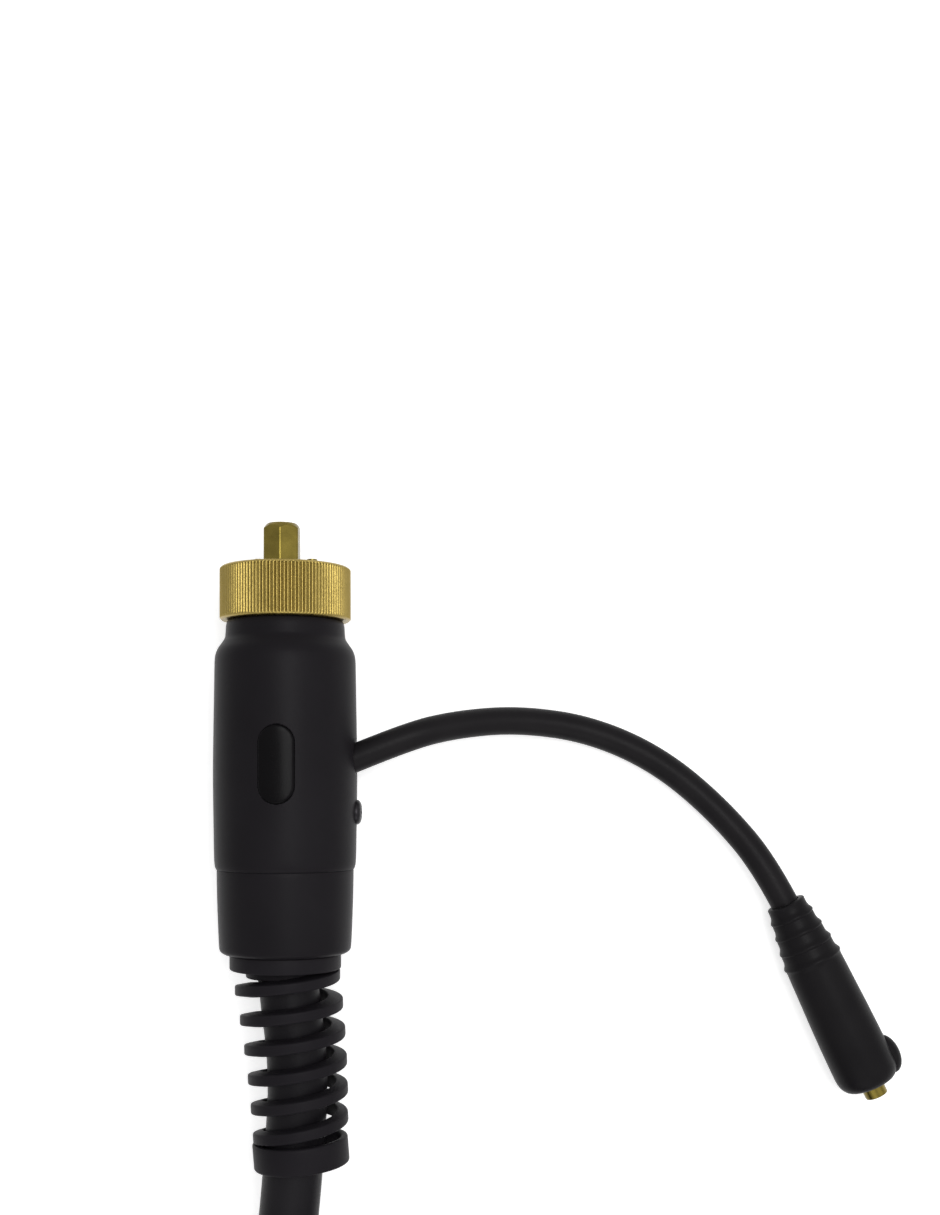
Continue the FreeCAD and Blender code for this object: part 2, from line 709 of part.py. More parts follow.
def knurl_band(front, rear):
    """The straight knurl: a ring of pointed teeth round the nut."""
    crest = S.nut_diameter.value / 2
    valley = crest - S.knurl_depth.value
    count = 2 * int(S.knurl_teeth.value)
    points = []
    for step in range(count + 1):
        radius = crest if step % 2 == 0 else valley
        angle = 2 * math.pi * step / count
        points.append(Vector(radius * math.cos(angle), rear.value, radius * math.sin(angle)))
    inner = valley - 2 * S.knurl_depth.value
    hole = Part.Wire([Part.Circle(Vector(0, rear.value, 0), Vector(0, 1, 0), inner).toShape()])
    face = Part.Face([Part.makePolygon(points), hole])
    band = DOCUMENT.addObject("Part::Feature", "knurl_band")
    band.Shape = face.extrude(Vector(0, front.value - rear.value, 0))
    return band


def make_union_nut():
    """Knurled nut with the rear lip that runs on the insulator's barrel."""
    bore = S.nut_bore / 2
    outer = S.nut_diameter / 2 - S.knurl_depth * 2
    core = lathe("nut_core", [
        (RING_INNER, NUT_REAR), (outer, NUT_REAR), (outer, NUT_FRONT), (bore, NUT_FRONT), (bore, LIP_FRONT),
        (RING_INNER, LIP_FRONT)])
    teeth = knurl_band(NUT_FRONT, NUT_REAR)
    node(fuse("nut", [core, teeth]), "union_nut")


def make_slip_ring():
    """The washer between the nut's lip and the flange."""
    rear = LIP_FRONT + S.turn_gap
    node(lathe("thrust_ring", ring(RING_INNER, S.nut_bore / 2 - S.free_gap, rear + S.ring_washer, rear)),
         "slip_ring")


# Housing, tab, screw and rear sleeve

HOUSING_BORE = S.housing_diameter / 2 - S.housing_wall - S.free_gap
SEAM = -S.housing_rear
BLOCK_FRONT = -S.barrel_length - S.block_gap
CLAMP_FRONT = BLOCK_FRONT - S.block_length
CLAMP_REAR = CLAMP_FRONT - S.clamp_length
CLAMP_WIDTH = (HOUSING_BORE - S.clamp_gap) * root(as_size(2))
SCREW_LINE = CLAMP_FRONT - S.screw_back


def pigtail_way(reach):
    """A place on the pigtail's first straight run, measured outward from the housing's side."""
    corner = Place(S.housing_diameter / 2, -S.pigtail_place, 0, S.pigtail_turn - 90)
    return corner.shifted(0, reach)


def make_housing_shell():
    """Neck, shoulder and body in one wall, with the tab's window and the holes for screw and pigtail."""
    body = new_body("housing")
    front = -S.housing_front
    foot = front - S.neck_length
    full = foot - S.shoulder_length
    outer = S.housing_diameter / 2
    neck_bore = S.barrel_diameter / 2 + S.fit_gap
    inner_front = full - S.housing_wall / 2
    revolve(body, "housing_turned", [
        (neck_bore, inner_front), (HOUSING_BORE, inner_front), (HOUSING_BORE, SEAM), (outer, SEAM),
        (outer, full), (S.neck_diameter / 2, foot), (S.neck_diameter / 2, front), (neck_bore, front)])
    window, ends = pill(S.tab_width + 2 * S.free_gap, S.tab_length + 2 * S.free_gap, -S.tab_centre)
    sketch = new_sketch(body, "window_oval", "XY_Plane", S.barrel_diameter / 4)
    draw_outline(sketch, window, ends)
    pocket(body, "tab_window", sketch, outer, True)
    screw = new_sketch(body, "screw_circle", "YZ_Plane", S.barrel_diameter / 4)
    draw_circles(screw, [(SCREW_LINE, 0, S.screw_shank + 2 * S.fit_gap)])
    pocket(body, "screw_hole", screw, outer, True)
    way = cylinder("pigtail_hole", S.pigtail_diameter / 2 + S.fit_gap, 4 * S.housing_wall,
                   pigtail_way(-2.4 * S.housing_wall))
    node(cut("housing", body, [way]), "housing_shell")


def make_release_tab():
    body = new_body("tab")
    reach = S.tab_width / 2 + S.tab_flange
    flange_top = root(HOUSING_BORE * HOUSING_BORE - reach * reach) - S.free_gap
    flange_bottom = flange_top - S.tab_flange_thickness
    rim, rim_ends = pill(S.tab_width + 2 * S.tab_flange, S.tab_length + 2 * S.tab_flange, -S.tab_centre)
    sketch = new_sketch(body, "tab_rim_oval", "XY_Plane", flange_bottom)
    draw_outline(sketch, rim, rim_ends)
    pad(body, "tab_rim", sketch, S.tab_flange_thickness)
    oval, ends = pill(S.tab_width, S.tab_length, -S.tab_centre)
    crown = S.housing_diameter / 2 + S.tab_proud
    sketch = new_sketch(body, "tab_oval", "XY_Plane", flange_bottom)
    draw_outline(sketch, oval, ends)
    pad(body, "tab_pad", sketch, crown + 1 - flange_bottom)
    front = S.tab_length - S.tab_centre
    rear = -S.tab_length - S.tab_centre
    revolve(body, "tab_crown", ring(crown, crown + S.tab_width, front, rear), groove=True)
    node(body, "release_tab")
    bottom = S.block_top + S.turn_gap
    bar = rod("tab_spring_bar", S.tab_spring_diameter, flange_bottom - S.turn_gap - bottom,
              Place(0, -S.tab_centre, bottom))
    bar.Placement.Rotation = FreeCAD.Rotation()
    node(bar, "tab_spring")


def make_housing_screw():
    seat = S.housing_diameter / 2
    head = S.screw_head / 2
    shank = S.screw_shank / 2
    top = seat + S.screw_head_height
    body = lathe("screw", [
        (0, seat - S.screw_length), (shank, seat - S.screw_length), (shank, seat), (head, seat), (head, top),
        (0, top)], place=Place(0, SCREW_LINE, 0, -90))
    node(body, "housing_screw")


def make_rear_sleeve():
    """The narrower rear end of the housing, with the wall that holds the strain relief."""
    outer = S.housing_diameter / 2 - S.rear_step
    end = -S.rear_end
    inner = outer - S.housing_wall
    wall = end + S.rear_wall
    hole = S.guard_neck / 2 + S.fit_gap
    body = lathe("sleeve_rear", [
        (hole, end), (outer - S.rear_corner, end), (outer, end + S.rear_corner), (outer, SEAM), (inner, SEAM),
        (inner, wall), (hole, wall)])
    node(body, "rear_sleeve")


# Strain relief: seat, ring, neck, helical band and collar, leaning to one side

GUARD_FACE = -S.rear_end - S.turn_gap
GUARD_SIDES = 16


def guard_frame(distance):
    """Middle, direction and sideways direction of the guard at a distance from its front ring's face.

    Behind the front ring the middle runs over to the right, fast at first, and the rings turn with it."""
    straight = S.guard_ring_length.value
    share = min(max((distance - straight) / (S.guard_collar_end.value - straight), 0), 1)
    turn = math.radians(S.guard_tilt.value) * share
    middle = Vector(S.guard_lean.value * share * (2 - share), GUARD_FACE.value - distance, 0)
    return middle, Vector(math.sin(turn), -math.cos(turn), 0), Vector(math.cos(turn), math.sin(turn), 0)


def helical_band():
    """The open band: flat facets between bevelled sections, evenly spaced round the helix."""
    steps_in_turn = GUARD_SIDES
    steps = int(round(S.guard_turns.value * steps_in_turn))
    inner = S.guard_bore.value / 2
    half = S.guard_band.value / 2
    bevel = S.guard_band_bevel.value
    sections = []
    for step in range(steps + 1):
        angle = math.pi + 2 * math.pi * step / steps_in_turn
        share = step / steps
        outer = (S.guard_front.value + (S.guard_rear.value - S.guard_front.value) * share) / 2
        distance = S.guard_start.value + S.guard_pitch.value * step / steps_in_turn
        middle, direction, side = guard_frame(distance)
        radial = side * math.cos(angle) + Vector(0, 0, 1) * math.sin(angle)
        sections.append([
            middle + radial * radius + direction * shift for radius, shift in (
                (inner, -half), (outer - bevel, -half), (outer, bevel - half),
                (outer, half - bevel), (outer - bevel, half), (inner, half))])
    faces = [Part.Face(Part.makePolygon(sections[0] + sections[0][:1]))]
    for first, second in zip(sections, sections[1:]):
        for number in range(len(first)):
            following = (number + 1) % len(first)
            for triangle in (
                    (first[number], second[number], second[following]),
                    (first[number], second[following], first[following])):
                faces.append(Part.Face(Part.makePolygon(list(triangle) + [triangle[0]])))
    faces.append(Part.Face(Part.makePolygon(sections[-1] + sections[-1][:1])))
    solid = Part.Solid(Part.Shell(faces))
    if solid.Volume < 0:
        solid = solid.reversed()
    return solid


def guard_ring(outer, inner, front, rear):
    """A ring with flat facets like the band's, between two distances from the front ring's face."""
    middle, direction, side = guard_frame((front.value + rear.value) / 2)
    length = rear.value - front.value
    start = middle - direction * (length / 2)
    loops = []
    for radius in (outer.value / 2, inner.value / 2):
        angles = [2 * math.pi * (step + 0.5) / GUARD_SIDES for step in range(GUARD_SIDES + 1)]
        loops.append(Part.makePolygon([
            start + side * (radius * math.cos(angle)) + Vector(0, 0, radius * math.sin(angle))
            for angle in angles]))
    return Part.Face(loops, "Part::FaceMakerBullseye").extrude(direction * length)


def make_strain_relief():
    seat_front = -S.rear_wall - S.turn_gap - S.guard_seat
    shape = helical_band()
    for piece in (
            guard_ring(S.guard_ring, S.guard_bore_front, as_size(0), S.guard_ring_length),
            guard_ring(S.guard_neck, S.guard_bore_front, seat_front, S.guard_neck_length),
            guard_ring(S.guard_ring, S.guard_bore_front, seat_front, seat_front + S.guard_seat),
            guard_ring(S.guard_collar, S.guard_bore_rear, S.guard_collar_start, S.guard_collar_end)):
        shape = shape.fuse(piece)
    feature = DOCUMENT.addObject("Part::Feature", "guard")
    feature.Shape = shape
    node(feature, "strain_relief")


# Inside the housing

CORES = [
    (0, S.conductor_height, S.conductor_diameter),
    (0, -S.nipple_offset, S.hose_diameter),
    (S.wire_across, -S.wire_below, S.wire_diameter),
    (-S.wire_across, -S.wire_below, S.wire_diameter)]


def make_cable_clamp():
    """The square clamp that grips the cores and takes the housing screw."""
    width = CLAMP_WIDTH
    block = box("clamp_block", width, S.clamp_length, width, Place(-width / 2, CLAMP_REAR, -width / 2))
    holes = []
    for across, height, diameter in CORES:
        holes.append(cylinder("core_hole", as_size(diameter) / 2 + S.fit_gap, S.clamp_length + 2,
                              Place(across, CLAMP_REAR - 1, height)))
    holes.append(cylinder("clamp_screw_hole", S.screw_shank / 2 + S.fit_gap, S.screw_length,
                          Place(S.housing_diameter / 2 - S.screw_length - 1, SCREW_LINE, 0, -90)))
    node(cut("clamp", block, holes), "cable_clamp")


def make_current_block():
    height = S.block_top + S.block_bottom
    bar = box("block_bar", S.block_width, S.block_length, height,
              Place(-S.block_width / 2, CLAMP_FRONT, -S.block_bottom))
    tail = cylinder("block_tail_hole", S.contact_tail / 2 + S.fit_gap, S.tail_depth + 1,
                    Place(0, BLOCK_FRONT - S.tail_depth, S.contact_offset))
    core = cylinder("block_core_hole", S.pigtail_core / 2 + S.fit_gap, 2 * S.pigtail_core,
                    pigtail_way(-S.core_reach - 1))
    node(cut("block", bar, [tail, core]), "current_block")


def make_cores():
    """Gas hose, the current conductor and the two control wires."""
    rear = -S.lead_start.value
    low = -S.nipple_offset.value
    front = -S.barrel_length.value
    high = low + S.hose_rise.value
    way = [
        Vector(0, front, low), Vector(0, CLAMP_REAR.value - S.hose_bend.value, low),
        Vector(0, rear + S.hose_end.value, high), Vector(0, rear, high)]
    hose = tube("hose_outside", way, S.hose_diameter.value)
    bore = S.nipple_diameter / 2 + 2 * S.fit_gap
    hole = cylinder("hose_bore", bore, S.hose_overlap + 1, Place(0, -S.barrel_length - S.hose_overlap, low))
    node(cut("hose", hose, [hole]), "gas_hose")
    conductor = rod("conductor", S.conductor_diameter, S.lead_start + CLAMP_FRONT,
                    Place(0, -S.lead_start, S.conductor_height))
    node(conductor, "power_conductor")
    wires = []
    for side in (-1, 1):
        start = side * S.pin_offset.value
        end = side * S.wire_across.value
        drop = -S.wire_below.value
        wires.append(tube("wire", [
            Vector(start, SLEEVE_REAR.value, 0), Vector(start, front + S.wire_bend.value, 0),
            Vector(end, front - S.wire_drop.value, drop), Vector(end, rear, drop)], S.wire_diameter.value, 6))
    pair = DOCUMENT.addObject("Part::Compound", "wire_pair")
    pair.Links = wires
    node(pair, "control_wires")


def make_pigtail_core():
    length = S.core_reach - S.pigtail_depth
    node(rod("pigtail_wire", S.pigtail_core, length, pigtail_way(-S.core_reach)), "pigtail_core")


# Plug at the pigtail's end

PLUG = Place(S.plug_across, -S.plug_back, BENCH + S.plug_diameter / 2, S.plug_turn + 180)


def make_plug():
    """Rubber grip with its stepped rings, and the brass pin."""
    boot = S.plug_boot / 2
    full = S.plug_diameter / 2
    length = S.plug_length
    jacket = S.pigtail_diameter / 2 + S.fit_gap
    core = S.plug_core / 2
    cavity = core + S.fit_gap
    core_rear = length - S.plug_pin_depth
    rise = (S.plug_waist / 2 - boot) / S.plug_rings
    corners = [(0, S.plug_cable_depth), (jacket, S.plug_cable_depth), (jacket, 0), (boot, 0)]
    outer = boot
    for number in range(int(S.plug_rings.value)):
        step = S.plug_ring_pitch * (number + 1)
        corners += [(outer, step), (outer + rise, step)]
        outer = outer + rise
    corners += [
        (outer, S.plug_shoulder), (full, S.plug_shoulder), (full, length - S.plug_bevel),
        (full - S.plug_bevel, length), (cavity, length), (cavity, core_rear), (0, core_rear)]
    corners.reverse()
    grip = lathe("grip", corners, place=PLUG)
    nib_place = PLUG.shifted(-full + S.plug_nib_width / 2 - S.plug_nib, length - S.plug_nib_place)
    nib = cylinder("grip_nib", S.plug_nib_width / 2, S.plug_nib_length, nib_place)
    node(fuse("grip", [grip, nib]), "plug_sleeve")
    pin = S.plug_pin / 2
    node(lathe("brass", [
        (0, core_rear + S.fit_gap), (core, core_rear + S.fit_gap), (core, length), (pin, length),
        (pin, length + S.plug_pin_reach), (0, length + S.plug_pin_reach)], place=PLUG), "plug_pin")


# Free cords


def north_of(place, reach):
    """A point along a place's own Y axis, as plain numbers."""
    spot = place.shifted(0, reach)
    return Vector(spot.across.value, spot.along.value, spot.height.value)


def route(name):
    """The points of a route that is listed with the sizes."""
    spots = []
    for number in range(1, len(ROUTES[name]) + 1):
        across, behind, above = (
            getattr(S, "%s_%d_%s" % (name, number, word)).value for word in ("across", "behind", "above"))
        spots.append(Vector(across, -behind, BENCH.value + above))
    return spots


def make_pigtail():
    first = [north_of(pigtail_way(0), -S.pigtail_depth.value), north_of(pigtail_way(0), S.pigtail_run.value)]
    last = [north_of(PLUG, -S.plug_run.value), north_of(PLUG, S.plug_cable_depth.value - S.fit_gap.value)]
    node(tube("pigtail", first + route("pigtail") + last, S.pigtail_diameter.value), "pigtail_cable")


LEAD_LOW = BENCH.value + S.lead_diameter.value / 2
COIL_START = Vector(S.coil_across.value, -S.coil_entry.value, LEAD_LOW)


def make_lead_ends():
    """The lead inside the strain relief, and its free run to the coil."""
    middle, direction, side = guard_frame(S.guard_collar_end.value)
    leave = middle - side * S.guard_exit.value
    size = S.lead_diameter.value
    inside = [Vector(0, -S.lead_start.value, 0)] + route("inside")
    heading = (leave - inside[-1]).normalize()
    node(tube("lead_inside", inside + [leave], size), "lead_end")
    first = leave + heading * S.lead_run.value
    entry = COIL_START + Vector(0, size, 0)
    node(tube("lead_out", [leave, first] + route("lead") + [entry], size), "lead_run")


def coil_arcs():
    """The coil's mid-line: half turns that spiral in, climb a layer and spiral out again."""
    inward = [S.coil_radius.value - S.coil_step.value / 2 * number for number in range(int(S.coil_inward.value))]
    climb = inward[-1] - S.coil_step.value / 2
    radii = inward + [climb] + inward[:0:-1]
    straight = Vector(0, -S.lead_diameter.value, 0)
    arcs = [Part.LineSegment(COIL_START - straight, COIL_START).toShape()]
    at = COIL_START
    for number, radius in enumerate(radii):
        right = 1 if number % 2 == 0 else -1
        lift = S.coil_layer.value if radius == climb else 0
        end = at + Vector(2 * right * radius, 0, lift)
        bow = Vector(0, -right * (end - at).Length / 2, 0)
        arcs.append(Part.Arc(at, (at + end) / 2 + bow, end).toShape())
        at = end
    arcs.append(Part.LineSegment(at, at + straight).toShape())
    return arcs, at + straight


def self_gap(wire, diameter):
    """Least gap between one turn of the coil and another, on points along its mid-line."""
    spacing = 12
    points = wire.discretize(Distance=spacing)
    apart = int(6 * diameter / spacing)
    least = min((first - second).Length for number, first in enumerate(points)
                for second in points[number + apart:])
    return least - diameter


def make_coil():
    """The put-away length, and the short tail that leads on to the handpiece."""
    size = S.lead_diameter.value
    arcs, leave = coil_arcs()
    wire = Part.Wire(arcs)
    feature = DOCUMENT.addObject("Part::Feature", "coil")
    feature.Shape = swept(wire, COIL_START + Vector(0, size, 0), Vector(0, -1, 0), size, 4)
    print("coil length %.0f, least gap to itself %.2f" % (wire.Length, self_gap(wire, size)))
    node(feature, "lead_coil")
    first = leave - Vector(0, S.tail_run.value, 0)
    last = [north_of(HAND, -S.hand_run.value), north_of(HAND, S.boot_depth.value - S.fit_gap.value)]
    node(tube("lead_last", [leave, first] + route("tail") + last, size), "lead_tail")


# Handpiece

HAND = Place(S.hand_across, -S.hand_back, BENCH + S.handle_diameter / 2, S.hand_turn + 180)
HANDLE_FRONT = S.hand_boot_length + S.handle_length
HEAD = HAND.shifted(0, HANDLE_FRONT + S.neck_run).turned(S.head_turn)
SCREW_ACROSS = (S.neck_tube + S.handle_screw) / 2 + S.screw_wall
SCREW_ALONG = HANDLE_FRONT - S.handle_nose_length + S.handle_screw


def make_hand_boot():
    bore = S.lead_diameter / 2 + S.fit_gap
    thin = S.boot_diameter / 2
    full = S.handle_diameter / 2
    end = S.hand_boot_length
    node(lathe("boot", [
        (0, S.boot_depth), (bore, S.boot_depth), (bore, 0), (thin, 0), (thin, S.boot_step), (full, S.boot_step),
        (full, end), (0, end)][::-1], place=HAND), "hand_boot")


def make_handle_shell(name, upper):
    """Half of the handle, split on the plane through the handle's and the head's axes."""
    outer = S.handle_diameter / 2
    inner = outer - S.handle_wall
    nose = S.handle_nose / 2
    mouth = S.neck_tube / 2 + S.fit_gap
    rear = S.hand_boot_length
    taper = HANDLE_FRONT - S.handle_nose_length
    body = new_body("shell_" + name)
    turned = revolve(body, "shell_turned_" + name, [
        (inner, rear), (outer, rear), (outer, taper), (nose, HANDLE_FRONT), (mouth, HANDLE_FRONT),
        (mouth, taper), (inner, taper)], angle=180)
    turned.Reversed = upper
    half = S.trigger_width / 2 + S.free_gap
    front = S.trigger_place + S.trigger_length / 2 + S.free_gap
    slot = new_sketch(body, "trigger_slot_" + name, "XZ_Plane", -front)
    draw_outline(slot, [(inner / 2, -half), (outer + 1, -half), (outer + 1, half), (inner / 2, half)])
    pocket(body, "trigger_gap_" + name, slot, S.trigger_length + 2 * S.free_gap, True)
    hole = S.handle_screw + 2 * S.fit_gap
    circles = new_sketch(body, "screw_circles_" + name, "XY_Plane")
    draw_circles(circles, [(-SCREW_ACROSS, SCREW_ALONG, hole), (SCREW_ACROSS, SCREW_ALONG, hole)])
    pocket(body, "screw_holes_" + name, circles, S.handle_screw_length / 2 + S.fit_gap, upper)
    put(body, HAND)
    node(body, "handle_shell_" + name)


def make_handle_screws():
    """Two screws that join the shells, one on each side of the neck."""
    screws = []
    for side in (-1, 1):
        spot = HAND.shifted(side * SCREW_ACROSS, SCREW_ALONG, -S.handle_screw_length / 2)
        screws.append(cylinder("handle_screw", S.handle_screw / 2, S.handle_screw_length, spot,
                               FreeCAD.Rotation(Vector(1, 0, 0), 90)))
    pair = DOCUMENT.addObject("Part::Compound", "handle_screw_pair")
    pair.Links = screws
    node(pair, "handle_screws")


TRIGGER_INNER = root(
    (S.handle_diameter / 2 - S.handle_wall) * (S.handle_diameter / 2 - S.handle_wall)
    - (S.trigger_width + S.trigger_rim) * (S.trigger_width + S.trigger_rim) / 4) - S.free_gap - S.trigger_lip


def make_trigger():
    """The button, the rim that keeps it in its slot and the pusher under it, in one moulding."""
    outer = S.handle_diameter / 2 + S.trigger_proud
    bevel = S.trigger_bevel
    length = S.trigger_length
    width = S.trigger_width
    middle = S.trigger_place
    rim_top = TRIGGER_INNER + S.trigger_lip
    rim_half = length / 2 + S.trigger_rim / 2
    body = new_body("trigger")
    rim = new_sketch(body, "trigger_rim_outline", "XY_Plane", -width / 2 - S.trigger_rim / 2)
    draw_outline(rim, [
        (TRIGGER_INNER, middle - rim_half), (rim_top, middle - rim_half), (rim_top, middle + rim_half),
        (TRIGGER_INNER, middle + rim_half)])
    pad(body, "trigger_rim", rim, width + S.trigger_rim)
    button = new_sketch(body, "trigger_outline", "XY_Plane", -width / 2)
    draw_outline(button, [
        (rim_top - S.trigger_root, middle - length / 2), (outer - bevel, middle - length / 2),
        (outer, middle - length / 2 + 2 * bevel), (outer - bevel / 2, middle),
        (outer, middle + length / 2 - 2 * bevel), (outer - bevel, middle + length / 2),
        (rim_top - S.trigger_root, middle + length / 2)])
    pad(body, "trigger_pad", button, width)
    pusher = new_sketch(body, "pusher_outline", "XY_Plane", -S.plunger_width / 2)
    thick = S.plunger_width / 2
    draw_outline(pusher, [
        (TRIGGER_INNER - S.plunger_reach, middle - thick), (TRIGGER_INNER + S.trigger_root, middle - thick),
        (TRIGGER_INNER + S.trigger_root, middle + thick), (TRIGGER_INNER - S.plunger_reach, middle + thick)])
    pad(body, "pusher", pusher, S.plunger_width)
    put(body, HAND)
    node(body, "trigger_button")


def make_switch():
    """The microswitch under the trigger, its two wires and the torch's hose."""
    top = TRIGGER_INNER - S.plunger_reach - S.trigger_travel - S.free_gap
    middle = S.trigger_place
    corner = HAND.shifted(top - S.switch_depth, middle - S.switch_length / 2, -S.switch_width / 2)
    node(box("switch_case", S.switch_depth, S.switch_length, S.switch_width, corner), "microswitch")
    rear = S.hand_boot_length
    wires = []
    for side in (-1, 1):
        spot = HAND.shifted(top - S.switch_depth / 2, rear, side * S.switch_wire)
        wires.append(rod("switch_lead", S.switch_wire, middle - S.switch_length / 2 - rear, spot))
    pair = DOCUMENT.addObject("Part::Compound", "switch_pair")
    pair.Links = wires
    node(pair, "switch_wires")
    front = HANDLE_FRONT - S.handle_nose_length - S.neck_inside
    node(rod("hand_tube", S.hand_hose, front - rear, HAND.shifted(-S.hand_hose_aside, rear)), "hand_hose")


def make_head():
    """Torch neck and head in one moulding, with the collet body, the electrode and the cup's gasket."""
    outer = S.head_diameter / 2
    bore = S.head_bore / 2
    head = lathe("head", ring(bore, outer, S.head_front, -S.head_back), place=HEAD)
    start = HANDLE_FRONT - S.handle_nose_length - S.neck_inside
    slant = (bore + S.neck_tube / 2 * cosine(S.head_turn)) / sine(S.head_turn)
    neck = cylinder("neck", S.neck_tube / 2, S.handle_nose_length + S.neck_inside + S.neck_run - slant,
                    HAND.shifted(0, start))
    node(fuse("head", [head, neck]), "torch_head")
    tungsten = S.electrode_diameter / 2
    holder = tungsten + S.collet_wall
    gasket_end = S.head_front + S.gasket_thickness
    node(lathe("holder", [
        (tungsten + S.turn_gap, 0), (bore - S.turn_gap, 0), (bore - S.turn_gap, gasket_end),
        (holder, gasket_end), (holder, gasket_end + S.collet_reach), (tungsten + S.turn_gap,
        gasket_end + S.collet_reach)], place=HEAD), "collet_body")
    tip = gasket_end + S.cup_length + S.electrode_reach
    tail = -S.head_back - S.cap_length + S.cap_wall + S.cap_spigot
    point = S.electrode_diameter
    node(lathe("tungsten", [
        (0, tail), (tungsten, tail), (tungsten, tip - point), (tungsten / 5, tip), (0, tip)], place=HEAD),
        "electrode")
    washer = ring(bore + S.fit_gap, S.cup_diameter / 2, gasket_end, S.head_front)
    node(lathe("insulator_ring", washer, place=HEAD), "cup_gasket")


def make_cup_and_cap():
    """The two pieces that screw on the head: ceramic cup and back cap."""
    start = S.head_front + S.gasket_thickness + S.turn_gap
    end = start + S.cup_length - S.turn_gap
    throat = S.cup_bore / 2
    collar = start + S.cup_collar
    node(lathe("cup", [
        (throat, start), (S.cup_diameter / 2, start), (S.cup_diameter / 2, collar), (S.cup_tip / 2, collar),
        (S.cup_tip / 2, end), (throat, end)], place=HEAD), "gas_cup")
    front = -S.head_back - S.turn_gap
    rear = front - S.cap_length
    full = S.cap_diameter / 2
    closed = S.cap_tip / 2
    spigot = S.head_bore / 2 - S.turn_gap
    hollow = S.cap_bore / 2
    inside = front + S.cap_spigot
    node(lathe("cap", [
        (0, rear), (closed, rear), (closed, front - S.cap_step), (full, front - S.cap_step), (full, front),
        (spigot, front), (spigot, inside), (hollow, inside), (hollow, rear + S.cap_wall), (0, rear + S.cap_wall)],
        place=HEAD), "back_cap")


def make_handpiece():
    make_hand_boot()
    make_handle_shell("upper", True)
    make_handle_shell("lower", False)
    make_handle_screws()
    make_trigger()
    make_switch()
    make_head()
    make_cup_and_cap()


def make_assembly():
    make_face_insulator()
    make_contact_tube()
    make_gas_nipple()
    make_control_contact(1, "right")
    make_control_contact(-1, "left")
    make_slip_ring()
    make_union_nut()
    make_housing_shell()
    make_release_tab()
    make_housing_screw()
    make_rear_sleeve()
    make_cable_clamp()
    make_current_block()
    make_cores()
    make_strain_relief()
    make_pigtail_core()
    make_plug()
    make_pigtail()
    make_lead_ends()
    make_coil()
    make_handpiece()


make_assembly()
DOCUMENT.recompute()


def check_and_write():
    """Every object has to be whole before a file is written."""
    for thing in DOCUMENT.Objects:
        if "Invalid" in thing.State or "Error" in thing.State:
            raise RuntimeError("%s (%s) failed" % (thing.Name, thing.Label))
    for thing in NODES:
        if thing.Shape.isNull() or not thing.Shape.isValid() or not thing.Shape.Solids:
            raise RuntimeError("%s has no valid solid" % thing.Label)
    os.makedirs("parts", exist_ok=True)
    for thing in NODES:
        thing.Shape.exportStep("parts/%s.step" % thing.Label)
    print(len(NODES), "sub-parts written")


check_and_write()
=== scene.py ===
import json
import math

import bpy
from mathutils import Matrix, Vector


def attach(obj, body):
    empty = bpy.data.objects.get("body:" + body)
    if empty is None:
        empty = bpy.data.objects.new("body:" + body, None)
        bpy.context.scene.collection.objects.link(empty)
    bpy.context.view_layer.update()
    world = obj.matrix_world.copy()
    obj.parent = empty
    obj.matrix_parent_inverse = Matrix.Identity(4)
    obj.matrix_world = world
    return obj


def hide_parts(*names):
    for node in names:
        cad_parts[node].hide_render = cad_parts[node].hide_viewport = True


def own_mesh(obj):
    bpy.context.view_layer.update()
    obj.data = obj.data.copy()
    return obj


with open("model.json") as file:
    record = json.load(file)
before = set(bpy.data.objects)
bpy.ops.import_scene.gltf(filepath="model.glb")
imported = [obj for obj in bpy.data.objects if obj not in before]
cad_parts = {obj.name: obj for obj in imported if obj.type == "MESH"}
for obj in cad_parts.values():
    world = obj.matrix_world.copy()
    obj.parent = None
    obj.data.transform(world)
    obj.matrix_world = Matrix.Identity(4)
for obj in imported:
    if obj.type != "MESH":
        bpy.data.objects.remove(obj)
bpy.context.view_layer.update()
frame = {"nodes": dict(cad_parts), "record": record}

# Lengths are in millimetres and become metres where an object is made; the room's are in metres.
# The origin is on the connector's axis at its mating face, +Y out of the face, +Z up.

MM = 0.001
BENCH = -27.5
FORWARD = Vector((0, 1, 0))

# Camera: straight above the connector, the long side of the picture along its axis

LENS = 42.4
SENSOR = 36
EYE = (70.9, -81.0, 550)
SHIFT_UP = 0.1436


def make_camera():
    data = bpy.data.cameras.new("view")
    data.sensor_width = SENSOR
    data.lens = LENS
    data.shift_y = SHIFT_UP
    data.clip_start = 0.01
    data.clip_end = 20
    camera = bpy.data.objects.new("view", data)
    bpy.context.scene.collection.objects.link(camera)
    camera.location = Vector(EYE) * MM
    bpy.context.scene.camera = camera
    bpy.context.scene.view_settings.view_transform = "Standard"


# Surfaces

FACTOR, FIRST, SECOND, MIXED = 0, 6, 7, 2  # a Mix node's sockets for colours
NOISE_LOW, NOISE_HIGH = 0.3, 0.7


def wire(tree, source, target):
    tree.links.new(source, target)


def noise(tree, coordinates, scale, detail=3.0):
    texture = tree.nodes.new("ShaderNodeTexNoise")
    texture.inputs["Scale"].default_value = scale
    texture.inputs["Detail"].default_value = detail
    wire(tree, coordinates, texture.inputs["Vector"])
    return texture.outputs["Fac"]


def spread_out(tree, value, low, high):
    """Take a noise's middle range to a range of values."""
    spread = tree.nodes.new("ShaderNodeMapRange")
    spread.inputs["From Min"].default_value = NOISE_LOW
    spread.inputs["From Max"].default_value = NOISE_HIGH
    spread.inputs["To Min"].default_value = low
    spread.inputs["To Max"].default_value = high
    wire(tree, value, spread.inputs["Value"])
    return spread.outputs["Result"]


